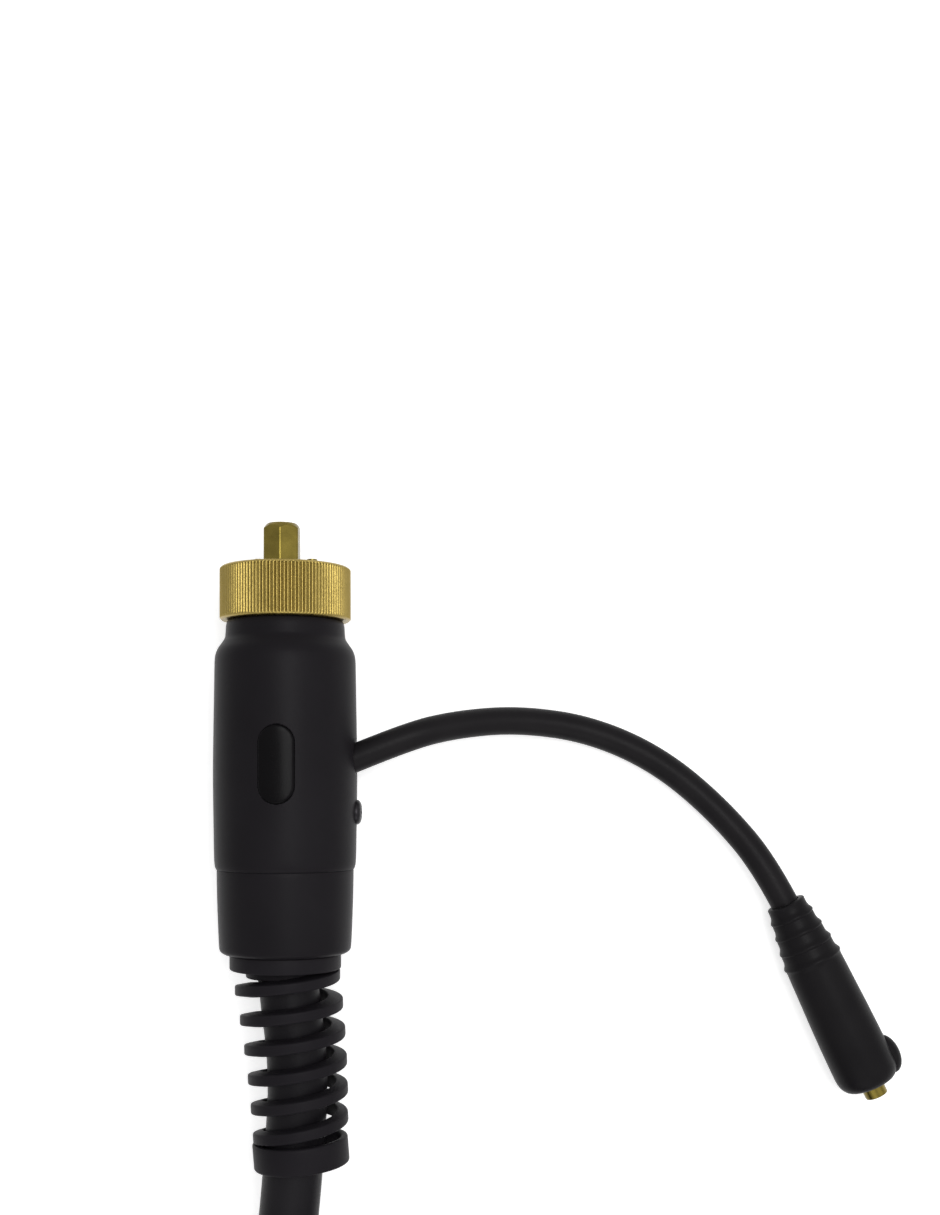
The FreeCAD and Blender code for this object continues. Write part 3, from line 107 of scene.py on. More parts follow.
def surface(name, colours, rough, patch, grain, height, metal=0.0, specular=0.5, stretch=(1, 1, 1), valley_shade=None):
    """A surface: two colours in soft patches, a range of roughness and a fine grain of a height in metres.

    patch and grain are the noises' scales. The last argument is a third colour of painted shade: a darker colour
    mixed in as far as a mesh's own attribute of the same name says, for hollows such as a knurl's valleys."""
    made = bpy.data.materials.new(name)
    made.use_nodes = True
    tree = made.node_tree
    shader = tree.nodes["Principled BSDF"]
    shader.inputs["Metallic"].default_value = metal
    shader.inputs["Specular IOR Level"].default_value = specular
    place = tree.nodes.new("ShaderNodeTexCoord")
    scaled = tree.nodes.new("ShaderNodeMapping")
    scaled.inputs["Scale"].default_value = stretch
    wire(tree, place.outputs["Object"], scaled.inputs["Vector"])
    patches = noise(tree, place.outputs["Object"], patch)
    mix = tree.nodes.new("ShaderNodeMix")
    mix.data_type = "RGBA"
    mix.inputs[FIRST].default_value = (*colours[0], 1)
    mix.inputs[SECOND].default_value = (*colours[1], 1)
    wire(tree, spread_out(tree, patches, 0, 1), mix.inputs[FACTOR])
    colour = mix.outputs[MIXED]
    # Painted shade: the third, darker colour is mixed in as far as the mesh's attribute says.
    if valley_shade:
        depth = tree.nodes.new("ShaderNodeAttribute")
        depth.attribute_name = "valley_shade"
        shade_mix = tree.nodes.new("ShaderNodeMix")
        shade_mix.data_type = "RGBA"
        wire(tree, colour, shade_mix.inputs[FIRST])
        shade_mix.inputs[SECOND].default_value = (*valley_shade, 1)
        wire(tree, depth.outputs["Fac"], shade_mix.inputs[FACTOR])
        colour = shade_mix.outputs[MIXED]
    wire(tree, colour, shader.inputs["Base Color"])
    fine = noise(tree, scaled.outputs["Vector"], grain, 4.0)
    wire(tree, spread_out(tree, fine, *rough), shader.inputs["Roughness"])
    bump = tree.nodes.new("ShaderNodeBump")
    bump.inputs["Strength"].default_value = 1.0
    bump.inputs["Distance"].default_value = height
    wire(tree, fine, bump.inputs["Height"])
    wire(tree, bump.outputs["Normal"], shader.inputs["Normal"])
    return made


SURFACE_ROWS = {
    "insulator": dict(colours=[(0.0165, 0.0150, 0.0166), (0.0210, 0.0192, 0.0211)], rough=(0.45, 0.6),
        patch=40, grain=2500, height=0.00002, specular=0.05),
    "contact_brass": dict(colours=[(0.185, 0.143, 0.031), (0.125, 0.096, 0.021)], rough=(0.2, 0.36), patch=160,
        grain=900, height=0.00001, metal=1.0, stretch=(1, 6, 1)),
    # The nut's third colour is painted shade, darker in the knurl's valleys.
    "nut_brass": dict(colours=[(0.355, 0.267, 0.079), (0.278, 0.207, 0.058)], rough=(0.26, 0.42), patch=90,
        grain=1500, height=0.000012, metal=1.0, valley_shade=(0.115, 0.084, 0.021)),
    "spring_steel": dict(colours=[(0.42, 0.42, 0.43), (0.32, 0.32, 0.33)], rough=(0.3, 0.45), patch=90,
        grain=1500, height=0.00001, metal=1.0),
    "housing": dict(colours=[(0.0100, 0.0090, 0.0106), (0.0128, 0.0115, 0.0135)], rough=(0.36, 0.46), patch=30,
        grain=3200, height=0.00003, specular=0.05),
    "tab": dict(colours=[(0.0030, 0.0027, 0.0032), (0.0040, 0.0036, 0.0042)], rough=(0.2, 0.3), patch=60,
        grain=2200, height=0.000004, specular=0.05),
    "screw_steel": dict(colours=[(0.016, 0.015, 0.017), (0.026, 0.0245, 0.027)], rough=(0.3, 0.45), patch=200,
        grain=2000, height=0.00001, metal=0.9),
    "hose": dict(colours=[(0.009, 0.008, 0.009), (0.012, 0.011, 0.012)], rough=(0.5, 0.6), patch=80,
        grain=2000, height=0.00002),
    "copper": dict(colours=[(0.50, 0.20, 0.10), (0.36, 0.14, 0.07)], rough=(0.3, 0.45), patch=120, grain=1500,
        height=0.00001, metal=1.0),
    "relief_rubber": dict(colours=[(0.0115, 0.0103, 0.0126), (0.0147, 0.0133, 0.0156)], rough=(0.4, 0.52),
        patch=45, grain=2400, height=0.00004, specular=0.05),
    "plug_rubber": dict(colours=[(0.0078, 0.0071, 0.0081), (0.0102, 0.0094, 0.0104)], rough=(0.34, 0.46),
        patch=50, grain=2400, height=0.00003, specular=0.06),
    "cable": dict(colours=[(0.0098, 0.0089, 0.0100), (0.0126, 0.0115, 0.0126)], rough=(0.36, 0.48), patch=60,
        grain=1500, height=0.00004, specular=0.07),
    "lead_jacket": dict(colours=[(0.0096, 0.0087, 0.0104), (0.0125, 0.0114, 0.0136)], rough=(0.36, 0.48),
        patch=40, grain=1300, height=0.00005, specular=0.09),
    "handle": dict(colours=[(0.0130, 0.0122, 0.0134), (0.0165, 0.0155, 0.0170)], rough=(0.45, 0.62), patch=30,
        grain=2800, height=0.00004, specular=0.08),
    "head": dict(colours=[(0.0100, 0.0094, 0.0102), (0.0135, 0.0127, 0.0135)], rough=(0.24, 0.36), patch=50,
        grain=1800, height=0.00001, specular=0.2),
    "tungsten": dict(colours=[(0.40, 0.40, 0.42), (0.28, 0.28, 0.30)], rough=(0.25, 0.4), patch=300,
        grain=3000, height=0.00001, metal=1.0, stretch=(1, 8, 1)),
    "gasket": dict(colours=[(0.62, 0.60, 0.55), (0.52, 0.50, 0.46)], rough=(0.4, 0.5), patch=90, grain=1500,
        height=0.00001),
    "ceramic": dict(colours=[(0.50, 0.24, 0.17), (0.40, 0.18, 0.125)], rough=(0.28, 0.42), patch=70,
        grain=1200, height=0.00001, specular=0.5),
}
SURFACES = {name: surface(name, **row) for name, row in SURFACE_ROWS.items()}

# Shapes

OWN_SLOT = {row["node"]: row["material_slot"] for row in frame["record"]["subparts"]}
OWN_BODY = {node: body for body, nodes in frame["record"]["behaviour"]["bodies"].items() for node in nodes}


def finish_piece(piece, nodes):
    """Dress a piece, let it ride on its body and let it stand for its CAD nodes."""
    slot = OWN_SLOT[nodes[0]]
    piece.data.materials.append(SURFACES[slot])
    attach(piece, OWN_BODY[nodes[0]])
    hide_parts(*nodes)


def mesh_piece(name, points, faces, sharp=40):
    """An object from points in millimetres, smooth but for edges over an angle."""
    mesh = bpy.data.meshes.new(name)
    mesh.from_pydata([Vector(point) * MM for point in points], [], faces)
    mesh.validate()
    mesh.shade_smooth()
    mesh.set_sharp_from_angle(angle=math.radians(sharp))
    piece = bpy.data.objects.new(name, mesh)
    bpy.context.scene.collection.objects.link(piece)
    return piece


def rounded(corners, radius, closed=True, steps=4):
    """A profile with each of its corners rounded, as far as its edges allow."""
    line = []
    count = len(corners)
    for number, corner in enumerate(corners):
        here = Vector(corner)
        if not closed and number in (0, count - 1):
            line.append(here)
            continue
        before = Vector(corners[number - 1]) - here
        after = Vector(corners[(number + 1) % count]) - here
        reach = min(radius, 0.45 * before.length, 0.45 * after.length)
        start = here + before.normalized() * reach
        end = here + after.normalized() * reach
        for step in range(steps + 1):
            share = step / steps
            first = start.lerp(here, share)
            second = here.lerp(end, share)
            line.append(first.lerp(second, share))
    return line


def even(values, spacing):
    """Values from the first to the last with no step above a spacing."""
    line = [values[0]]
    for start, end in zip(values, values[1:]):
        parts = max(1, math.ceil(abs(end - start) / spacing - 1e-6))
        line += [start + (end - start) * (step + 1) / parts for step in range(parts)]
    return line


def divided(line, spacing):
    """A closed profile with long edges divided, so that a wave in the radius can follow them."""
    out = []
    for start, end in zip(line, line[1:] + line[:1]):
        parts = max(1, math.ceil((end - start).length / spacing))
        out += [start.lerp(end, step / parts) for step in range(parts)]
    return out


def heading(angle):
    """A level direction, by its angle in degrees from +Y towards +X."""
    turn = math.radians(angle)
    return Vector((math.sin(turn), math.cos(turn), 0))


def placed(origin, along):
    """The frame of a turned piece, whose own +Y runs along a direction."""
    side = along.cross(Vector((0, 0, 1))).normalized()
    top = side.cross(along)
    place = Matrix((side, along, top)).transposed().to_4x4()
    place.translation = Vector(origin)
    return place


def turned(name, line, place=None, angles=None, steps=128, shape=None, closed=True, sharp=40, full=True):
    """A profile of radius and place along the axis, turned about the axis.

    shape gives the radius from the angle, the place along the axis and the profile's radius. full is False
    where the angles don't go all the way round; the two ends are closed then."""
    place = place or placed((0, 0, 0), FORWARD)
    angles = angles or [360 * step / steps for step in range(steps)]
    points = []
    for angle in angles:
        turn = math.radians(angle)
        for radius, along in line:
            out = shape(angle, along, radius) if shape else radius
            points.append(place @ Vector((out * math.cos(turn), along, out * math.sin(turn))))
    rings = len(angles)
    count = len(line)
    faces = []
    for number in range(rings if full else rings - 1):
        after = (number + 1) % rings
        for step in range(count if closed else count - 1):
            following = (step + 1) % count
            faces.append((number * count + step, number * count + following, after * count + following,
                          after * count + step))
    if not full:
        faces.append(tuple(range(count)))
        faces.append(tuple((rings - 1) * count + step for step in reversed(range(count))))
    return mesh_piece(name, points, faces, sharp)


def smooth_curve(knots, spacing):
    """A smooth line through points, given as place along the axis and radius."""
    out = []
    ends = [2 * knots[0][i] - knots[1][i] for i in (0, 1)], [2 * knots[-1][i] - knots[-2][i] for i in (0, 1)]
    row = [Vector(ends[0])] + [Vector(knot) for knot in knots] + [Vector(ends[1])]
    for a, b, c, d in zip(row, row[1:], row[2:], row[3:]):
        parts = max(2, math.ceil((c - b).length / spacing))
        for step in range(parts):
            t = step / parts
            out.append(0.5 * (2 * b + (c - a) * t + (2 * a - 5 * b + 4 * c - d) * t * t
                              + (3 * b - a - 3 * c + d) * t ** 3))
    out.append(Vector(knots[-1]))
    return out


def ease(value, low, high):
    """From 0 at low to 1 at high, level at both."""
    share = min(max((value - low) / (high - low), 0), 1)
    return share * share * (3 - 2 * share)


def oval_distance(across, along, width, length):
    """How far a point lies outside an oval; inside it the distance is negative."""
    straight = (length - width) / 2
    beyond = max(abs(along) - straight, 0)
    return math.hypot(across, beyond) - width / 2


# Cords: the lead in its strain relief, the lead with its coil, and the pigtail

LEAD = 23
PIGTAIL = 11
GUARD_FACE = -146.55
GUARD_STRAIGHT, GUARD_END = 6.2, 81.5  # from its ring's face to where it begins to lean, and to its end
GUARD_LEAN = 6.0  # to the right, at its end
GUARD_TILT = math.radians(4.8)
LEAD_ASIDE = 3.1  # from the guard's middle, where the lead leaves it


def guard_frame(distance):
    """Middle, direction and sideways direction of the strain relief at a distance from its ring's face."""
    share = min(max((distance - GUARD_STRAIGHT) / (GUARD_END - GUARD_STRAIGHT), 0), 1)
    turn = GUARD_TILT * share
    middle = Vector((GUARD_LEAN * share * (2 - share), GUARD_FACE - distance, 0))
    return middle, Vector((math.sin(turn), -math.cos(turn), 0)), Vector((math.cos(turn), math.sin(turn), 0))


def spline_piece(name, points, diameter):
    """A round cord on one open spline."""
    data = bpy.data.curves.new(name, "CURVE")
    data.dimensions = "3D"
    data.bevel_depth = diameter / 2 * MM
    data.bevel_resolution = 10
    data.resolution_u = 14
    data.use_fill_caps = True
    spline = data.splines.new("NURBS")
    spline.points.add(len(points) - 1)
    for spot, point in zip(spline.points, points):
        spot.co = (*(Vector(point) * MM), 1)
    spline.order_u = 3
    spline.use_endpoint_u = True
    piece = bpy.data.objects.new(name, data)
    bpy.context.scene.collection.objects.link(piece)
    return piece


LEAD_LOW = BENCH + LEAD / 2  # the lead's middle where it lies on the bench
COIL_START = Vector((-20, -424, LEAD_LOW))
COIL_RADII = [155, 143.2, 131.4, 119.6, 107.8, 119.6, 131.4, 143.2]
COIL_CLIMB = 4  # the half turn that climbs to the second layer
COIL_LAYER = 23.6
HALF_STEPS = 8  # points in a half turn
HAND_TURN = 180 - 42
HAND_SPOT = (20.4, -617.1, -12)
BOOT_DEPTH = 23.85


def coil_points():
    """Points of the coil: half turns that spiral in, climb a layer and spiral out again."""
    points = []
    at = COIL_START
    for number, radius in enumerate(COIL_RADII):
        right = 1 if number % 2 == 0 else -1
        lift = COIL_LAYER if number == COIL_CLIMB else 0
        middle = at + Vector((right * radius, 0, 0))
        out = radius / math.cos(math.pi / HALF_STEPS / 2)
        for step in range(HALF_STEPS):
            angle = math.pi * (step + 0.5) / HALF_STEPS
            points.append(middle + Vector((
                -right * math.cos(angle) * out, -right * math.sin(angle) * out, lift * (step + 0.5) / HALF_STEPS)))
        at = at + Vector((2 * right * radius, 0, lift))
    return points, at


def make_lead():
    """The lead inside its strain relief, and from there by its coil to the handpiece."""
    leave, direction, side = guard_frame(GUARD_END)
    leave = leave - side * LEAD_ASIDE
    inside = [(0, -128, 0), (0, -146, 0), (1.9, -166, 0), (4.2, -183, 0), (4.8, -200, 0), (3.9, -215, 0)]
    onward = (leave - Vector(inside[-1])).normalized()
    inner = spline_piece("lead_in_relief", inside + [leave], LEAD)
    finish_piece(inner, ["lead_end"])
    turns, last = coil_points()
    back = -FORWARD
    hand = Vector(HAND_SPOT)
    way = heading(HAND_TURN)
    tail = [last + back * LEAD, last + back * (LEAD + 35), (-21.5, -520, 0.5), (-14.5, -559.4, -8.5),
            hand - way * 22, hand + way * BOOT_DEPTH]
    points = [
        leave, leave + onward * 24, (-5, -288, -7), (-13.5, -326, LEAD_LOW), (-20, -364, LEAD_LOW),
        COIL_START - back * LEAD] + turns + tail
    lead = spline_piece("torch_lead", points, LEAD)
    finish_piece(lead, ["lead_run", "lead_coil", "lead_tail"])


PLUG_SPOT = (195.4, -128.8, BENCH + 12.4)
PLUG_ANGLE = 180 - 25.5
PLUG_CABLE = 13.5  # of the pigtail, inside the plug
HOUSING_RADIUS = 27.5
EXIT_ALONG, EXIT_ANGLE = -71.4, 67  # where the pigtail leaves the housing, and its direction


def make_pigtail():
    out = heading(EXIT_ANGLE)
    exit_spot = Vector((HOUSING_RADIUS, EXIT_ALONG, 0))
    plug_way = heading(PLUG_ANGLE)
    low = BENCH + PIGTAIL / 2
    plug_spot = Vector(PLUG_SPOT)
    points = [
        exit_spot - out * 11, exit_spot + out * 20, (67, -58.2, -9.1), (91, -56.2, -17.3), (119, -60, low),
        (146, -72, low), (170, -92, low + 0.5), plug_spot - plug_way * 14, plug_spot + plug_way * PLUG_CABLE]
    pigtail = spline_piece("pigtail", points, PIGTAIL)
    finish_piece(pigtail, ["pigtail_cable"])


# Strain relief

BAND_FRONT, BAND_REAR = 41.6, 36.2  # diameters of the band's two ends
BAND_INNER = 14.3
BAND_START, BAND_PITCH, BAND_TURNS = 3.05, 11.1, 6.25


def band_section(share):
    """The band's section, as radius and shift along the guard, narrower at its outer edge."""
    outer = (BAND_FRONT + (BAND_REAR - BAND_FRONT) * share) / 2
    return rounded([(BAND_INNER, -3.0), (outer, -1.95), (outer, 1.95), (BAND_INNER, 3.0)], 0.7, steps=5)


def make_strain_relief():
    """The open helical band between its ring and its collar."""
    steps_in_turn = 72
    steps = int(BAND_TURNS * steps_in_turn)
    points = []
    for step in range(steps + 1):
        angle = math.pi + 2 * math.pi * step / steps_in_turn
        middle, direction, side = guard_frame(BAND_START + BAND_PITCH * step / steps_in_turn)
        radial = side * math.cos(angle) + Vector((0, 0, 1)) * math.sin(angle)
        section = band_section(step / steps)
        points += [middle + radial * radius + direction * shift for radius, shift in section]
    count = len(section)
    faces = [tuple(reversed(range(count))), tuple(steps * count + number for number in range(count))]
    for step in range(steps):
        for number in range(count):
            following = (number + 1) % count
            faces.append((step * count + number, step * count + following, (step + 1) * count + following,
                          (step + 1) * count + number))
    band = mesh_piece("relief_band", points, faces, 50)
    finish_piece(band, ["strain_relief"])
    for name, outer, inner, front, rear, corner in (
            ("relief_ring", 42.6, 25.6, 0.0, 6.2, 0.9), ("relief_neck", 30.2, 25.6, -5.0, 9.2, 0.6),
            ("relief_collar", 36.6, 31.4, 71.3, 81.5, 1.1)):
        middle, direction, side = guard_frame((front + rear) / 2)
        place = placed(middle, -direction)
        half = (rear - front) / 2
        line = rounded([(inner / 2, -half), (outer / 2, -half), (outer / 2, half), (inner / 2, half)], corner)
        piece = turned(name, line, place, steps=96)
        finish_piece(piece, ["strain_relief"])


# Housing, tab, screw and rear sleeve

TAB_WIDTH, TAB_LENGTH, TAB_MIDDLE = 13.3, 28.9, -74.5
TAB_GAP, WINDOW_DEPTH = 0.2, 1.0
PORT_RADIUS, PORT_DEPTH = 6.6, 0.5
SEAM = -114.5  # between housing and rear sleeve
HOUSING_LINE = [
    (-114.1, 26.45), (-113.2, 26.75), (-111.5, 26.98), (-108, 27.12), (-100, 27.25), (-78.7, 27.5), (-60, 27.3),
    (-48, 27.1), (-38, 26.95), (-34.5, 26.85), (-32.2, 26.5), (-30.2, 25.7), (-28, 24.2), (-26.2, 23.1),
    (-24.5, 22.8), (-21.5, 22.6), (-19.9, 22.25)]


def housing_shape(angle, along, radius):
    """Sinks the oval window for the tab and a shallow ring round the pigtail into the outside."""
    if radius < 26:
        return radius
    from_top = radius * math.radians((angle + 90) % 360 - 180)
    window = oval_distance(from_top, along - TAB_MIDDLE, TAB_WIDTH + TAB_GAP, TAB_LENGTH + TAB_GAP)
    sink = WINDOW_DEPTH * (1 - ease(window, -0.1, 0.15))
    from_side = radius * math.radians((angle + 180) % 360 - 180)
    port = math.hypot(from_side, (along - EXIT_ALONG) * 0.95)
    sink += PORT_DEPTH * (1 - ease(port, PORT_RADIUS, PORT_RADIUS + 0.6))
    return radius - sink


def make_housing():
    outside = [(radius, along) for along, radius in reversed(smooth_curve(HOUSING_LINE, 0.35))]
    line = [(20.2, -19.5), (21.8, -19.5), (22.05, -19.65)] + outside + [
        (26.35, -114.3), (26.15, -114.45), (25.9, SEAM), (24.3, SEAM), (24.3, -36.0), (20.2, -34.0)]
    # half a degree apart round the pigtail and the tab, 1.5 degrees underneath and on the left
    angles = even([-16, 16, 66, 114, 344], 0.5)[:-1]
    angles = [angle for angle in angles if not (120 < angle < 338 and round(angle * 2) % 3)]
    piece = turned("housing_moulding", line, angles=angles, shape=housing_shape)
    finish_piece(piece, ["housing_shell"])


def make_tab():
    """The oval pad with its rounded rim, on the housing's curve."""
    # inset from the outline, and rise over the housing
    rings = [(0.0, -1.7), (0.0, 0.0), (0.06, 0.18), (0.2, 0.34), (0.45, 0.45), (0.9, 0.49), (2.4, 0.5),
             (4.2, 0.5), (5.6, 0.5)]
    around = 96
    points = []
    straight = (TAB_LENGTH - TAB_WIDTH) / 2
    for inset, rise in rings:
        radius = TAB_WIDTH / 2 - inset
        for step in range(around):
            turn = 2 * math.pi * step / around
            across = radius * math.cos(turn)
            along = radius * math.sin(turn) + (straight if math.sin(turn) >= 0 else -straight)
            lift = math.sqrt((HOUSING_RADIUS + rise) ** 2 - across ** 2)
            points.append((across, TAB_MIDDLE + along, lift))
    faces = []
    for number in range(len(rings) - 1):
        for step in range(around):
            after = (step + 1) % around
            faces.append((number * around + step, number * around + after, (number + 1) * around + after,
                          (number + 1) * around + step))
    last = (len(rings) - 1) * around
    faces.append(tuple(last + step for step in range(around)))
    faces.append(tuple(reversed(range(around))))
    piece = mesh_piece("tab_pad", points, faces, 35)
    finish_piece(piece, ["release_tab"])


def make_spring(node, foot, top, radius, half_wire, turns):
    """A coil spring between two points, on a mesh of its own."""
    foot, top = Vector(foot), Vector(top)
    length = (top - foot).length
    along = (top - foot) / length
    side = Vector((1, 0, 0))
    other = along.cross(side)
    steps = int(turns * 20)
    sides = 8
    points = []
    for step in range(steps + 1):
        angle = 2 * math.pi * turns * step / steps
        radial = side * math.cos(angle) + other * math.sin(angle)
        middle = foot + along * (half_wire + (length - 2 * half_wire) * step / steps) + radial * radius
        for number in range(sides):
            turn = 2 * math.pi * number / sides
            points.append(middle + (radial * math.cos(turn) + along * math.sin(turn)) * half_wire)
    faces = [tuple(range(sides)), tuple(steps * sides + number for number in reversed(range(sides)))]
    for step in range(steps):
        for number in range(sides):
            after = (number + 1) % sides
            faces.append((step * sides + number, (step + 1) * sides + number, (step + 1) * sides + after,
                          step * sides + after))
    piece = mesh_piece(node + "_coil", points, faces, 60)
    finish_piece(piece, [node])
    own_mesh(piece)


def make_springs():
    for name, across in (("left", -10.2), ("right", 10.2)):
        make_spring("contact_spring_" + name, (across, -11.8, 0), (across, -2.9, 0),
                    radius=1.55, half_wire=0.28, turns=6.5)
    make_spring("tab_spring", (0, TAB_MIDDLE, 16.45), (0, TAB_MIDDLE, 21.35),
                radius=2.6, half_wire=0.35, turns=4)


def make_screw():
    """Pan head with a cross recess, on the housing's side."""
    place = placed((27.2, -92.6, 0), heading(90))
    line = [(0.001, -0.6), (4.7, -0.6), (4.8, 0.1), (4.75, 0.6), (4.45, 1.15), (3.9, 1.6), (3.2, 1.9), (2.6, 2.02),
            (2.2, 2.08), (1.8, 2.1), (1.4, 2.1), (1.0, 2.1), (0.6, 2.1), (0.001, 2.1)]
    arm_half_width, arm_reach, recess = 0.55, 2.5, 1.1
    piece = turned("side_screw", line, place, steps=64, closed=False)
    for vertex in piece.data.vertices:
        local = place.inverted() @ (vertex.co / MM)
        across, out = sorted((abs(local.x), abs(local.z)))
        if local.y > 1.0 and across < arm_half_width and out < arm_reach:
            vertex.co = (place @ Vector((local.x, local.y - recess, local.z))) * MM
    finish_piece(piece, ["housing_screw"])


def make_rear_sleeve():
    knots = [(-146.0, 24.2), (-145.5, 24.75), (-144.6, 25.1), (-142, 25.3), (-134, 25.65), (-125, 25.95),
             (-116.5, 26.1)]
    outside = [(radius, along) for along, radius in smooth_curve(knots, 0.8)]
    line = [(15.4, -146.5), (21.0, -146.5), (23.6, -146.4)] + outside + [
        (26.1, -114.9), (26.0, -114.6), (25.8, SEAM), (23.5, SEAM), (23.5, -143), (15.4, -143)]
    piece = turned("rear_moulding", line, steps=160)
    finish_piece(piece, ["rear_sleeve"])


# Connector face

TEETH, TOOTH_DEPTH = 116, 0.55
NUT_RADIUS = 25
NUT_FRONT, NUT_REAR = 1.1, -19.2
THREAD_PITCH, THREAD_DEPTH = 1.5, 0.45
HEX_FLAT, HEX_CORNER = 6.5, 7.32
HEX_FROM = 5.65  # the profile's radii from here on are the hexagon's
SPIGOT_TIP, SPIGOT_HEIGHT = 16.2, 10.3


def nut_shape(angle, along, radius):
    """Pointed teeth round the outside and a thread inside."""
    if radius > 24.6:
        phase = angle * TEETH / 360 % 1
        tooth = abs(2 * phase - 1)
        ends = ease(along, NUT_REAR + 0.5, NUT_REAR + 1.1) * (1 - ease(along, NUT_FRONT - 1.1, NUT_FRONT - 0.5))
        return radius - TOOTH_DEPTH * (1 - ease(tooth, 0.1, 0.9)) * ends
    if 21.9 < radius < 22.6 and -14.5 < along < -1.5:
        phase = (along / THREAD_PITCH + angle / 360) % 1
        return radius + THREAD_DEPTH * abs(2 * phase - 1)
    return radius


def make_nut():
    line = rounded([
        (20.15, NUT_REAR), (NUT_RADIUS - 0.75, NUT_REAR), (NUT_RADIUS, NUT_REAR + 0.75),
        (NUT_RADIUS, NUT_FRONT - 0.75), (NUT_RADIUS - 0.75, NUT_FRONT), (23.5, NUT_FRONT),
        (22.4, NUT_FRONT - 1.1), (22.3, -16.0), (20.15, -16.0)], 0.25, steps=3)
    line = divided(line, 0.5)
    piece = turned("knurled_nut", line, steps=TEETH * 8, shape=nut_shape, sharp=55)
    # Painted shade: this attribute darkens the nut's colour the deeper a point lies in a knurl's valley.
    depth = piece.data.attributes.new("valley_shade", "FLOAT", "POINT")
    for vertex in piece.data.vertices:
        along = vertex.co.y / MM
        radius = math.hypot(vertex.co.x, vertex.co.z) / MM
        if radius > 24 and NUT_REAR + 1 < along < NUT_FRONT - 1:
            depth.data[vertex.index].value = ease(NUT_RADIUS - radius, 0.08, 0.5)
    finish_piece(piece, ["union_nut"])


def hex_shape(angle, along, radius):
    """A hexagon with eased corners, bevelled by a cone at its front end."""
    if radius < HEX_FROM:
        return radius
    from_flat = (angle + 30) % 60 - 30
    flat = HEX_FLAT / math.cos(math.radians(from_flat))
    cone = 5.7 + (SPIGOT_TIP - along) * 0.78
    return min(flat, HEX_CORNER, cone)


def make_spigot():
    line = [(0.001, -5.0)] + [(7.0, along) for along in (-5.0, 2.0, 8.0)]
    line += [(7.0, 12.2 + 0.2 * step) for step in range(20)]
    line += [(5.6, SPIGOT_TIP), (5.2, 16.25), (4.5, 16.25), (4.2, 16.15), (4.1, 15.9), (4.1, 13.0), (1.1, 9.4),
             (1.1, -3.8), (0.001, -3.8)]
    place = placed((0, 0, SPIGOT_HEIGHT), FORWARD)
    piece = turned("power_spigot", line, place, steps=180, shape=hex_shape, closed=False, sharp=25)
    finish_piece(piece, ["contact_tube"])


# Plug

NIB_SIDE, NIB_RADIUS = 10.8, 4.8
NIB_MIDDLE, NIB_HALF = 71, 8
RING_PITCH, RING_WIDENS = 6.2, 0.98


def make_plug():
    """The grip with its soft rings and locating nib, and the brass pin."""
    line = [(5.6, 0.0), (7.3, 0.0), (7.7, 0.4)]
    for number in range(4):
        start = 0.8 + RING_PITCH * number
        foot = 7.6 + RING_WIDENS * number
        line += [(foot, start), (foot + 0.1, start + 2.4), (foot + 0.45, start + 3.5), (foot + 0.95, start + 4.3),
                 (foot + 1.25, start + 4.9), (foot + 1.2, start + 5.4), (foot + 0.85, start + 5.8)]
    line += [(11.3, 26.4), (11.45, 30), (11.7, 38), (12.05, 48), (12.3, 58), (12.4, 66), (12.4, 72.5), (12.25, 74.2),
             (11.9, 75.6), (11.3, 76.9), (10.5, 77.9), (9.7, 78.5), (8.8, 78.85), (7.6, 79.0), (5.8, 79.0),
             (5.65, 78.8), (5.65, 76.5), (0.001, 76.5)]
    place = placed(PLUG_SPOT, heading(PLUG_ANGLE))
    grip = turned("plug_grip", line, place, steps=128, closed=False, sharp=50)
    finish_piece(grip, ["plug_sleeve"])
    nib_steps = 24
    nib_turns = [math.pi * step / nib_steps for step in range(nib_steps + 1)]
    nib_line = [(max(NIB_RADIUS * math.sin(turn), 0.001), NIB_MIDDLE - NIB_HALF * math.cos(turn))
                for turn in nib_turns]
    nib_place = placed(place @ Vector((-NIB_SIDE, 0, 0)), heading(PLUG_ANGLE))
    nib = turned("plug_nib", nib_line, nib_place, steps=48, closed=False)
    finish_piece(nib, ["plug_sleeve"])
    pin_line = rounded([(0.001, 60), (5.4, 60), (5.4, 78.7), (4.5, 78.9), (4.5, 84.0), (0.001, 84.0)], 0.5,
                       closed=False)
    pin = turned("plug_brass", pin_line, place, steps=64, closed=False)
    finish_piece(pin, ["plug_pin"])
    return [grip, nib, pin]


# Handpiece

HAND = placed(HAND_SPOT, heading(HAND_TURN))
HEAD = placed(HAND @ Vector((0, 218, 0)), heading(HAND_TURN - 70))
TRIGGER_PLACE, TRIGGER_LENGTH, TRIGGER_WIDTH = 118, 30, 8
TRIGGER_GAP, SLOT_DEPTH = 0.3, 2.3
GRIP_START, GRIP_END, GRIP_PITCH, GRIP_DEPTH = 146, 174, 4.0, 0.45


def make_boot():
    line = [(11.6, 0.0), (12.6, 0.0), (13.1, 0.4)]
    for number in range(5):
        start = 1.6 + 4.6 * number
        foot = 12.9 + 0.32 * number
        line += [(foot, start), (foot + 0.35, start + 0.5), (foot + 0.35, start + 3.0), (foot - 0.9, start + 3.4),
                 (foot - 0.9, start + 4.2)]
    line += [(14.4, 25.0), (15.0, 28.0), (15.35, 33.0), (15.5, 42.0), (0.001, 42.0)]
    finish_piece(turned("handle_boot", line, HAND, steps=96, closed=False, sharp=45), ["hand_boot"])


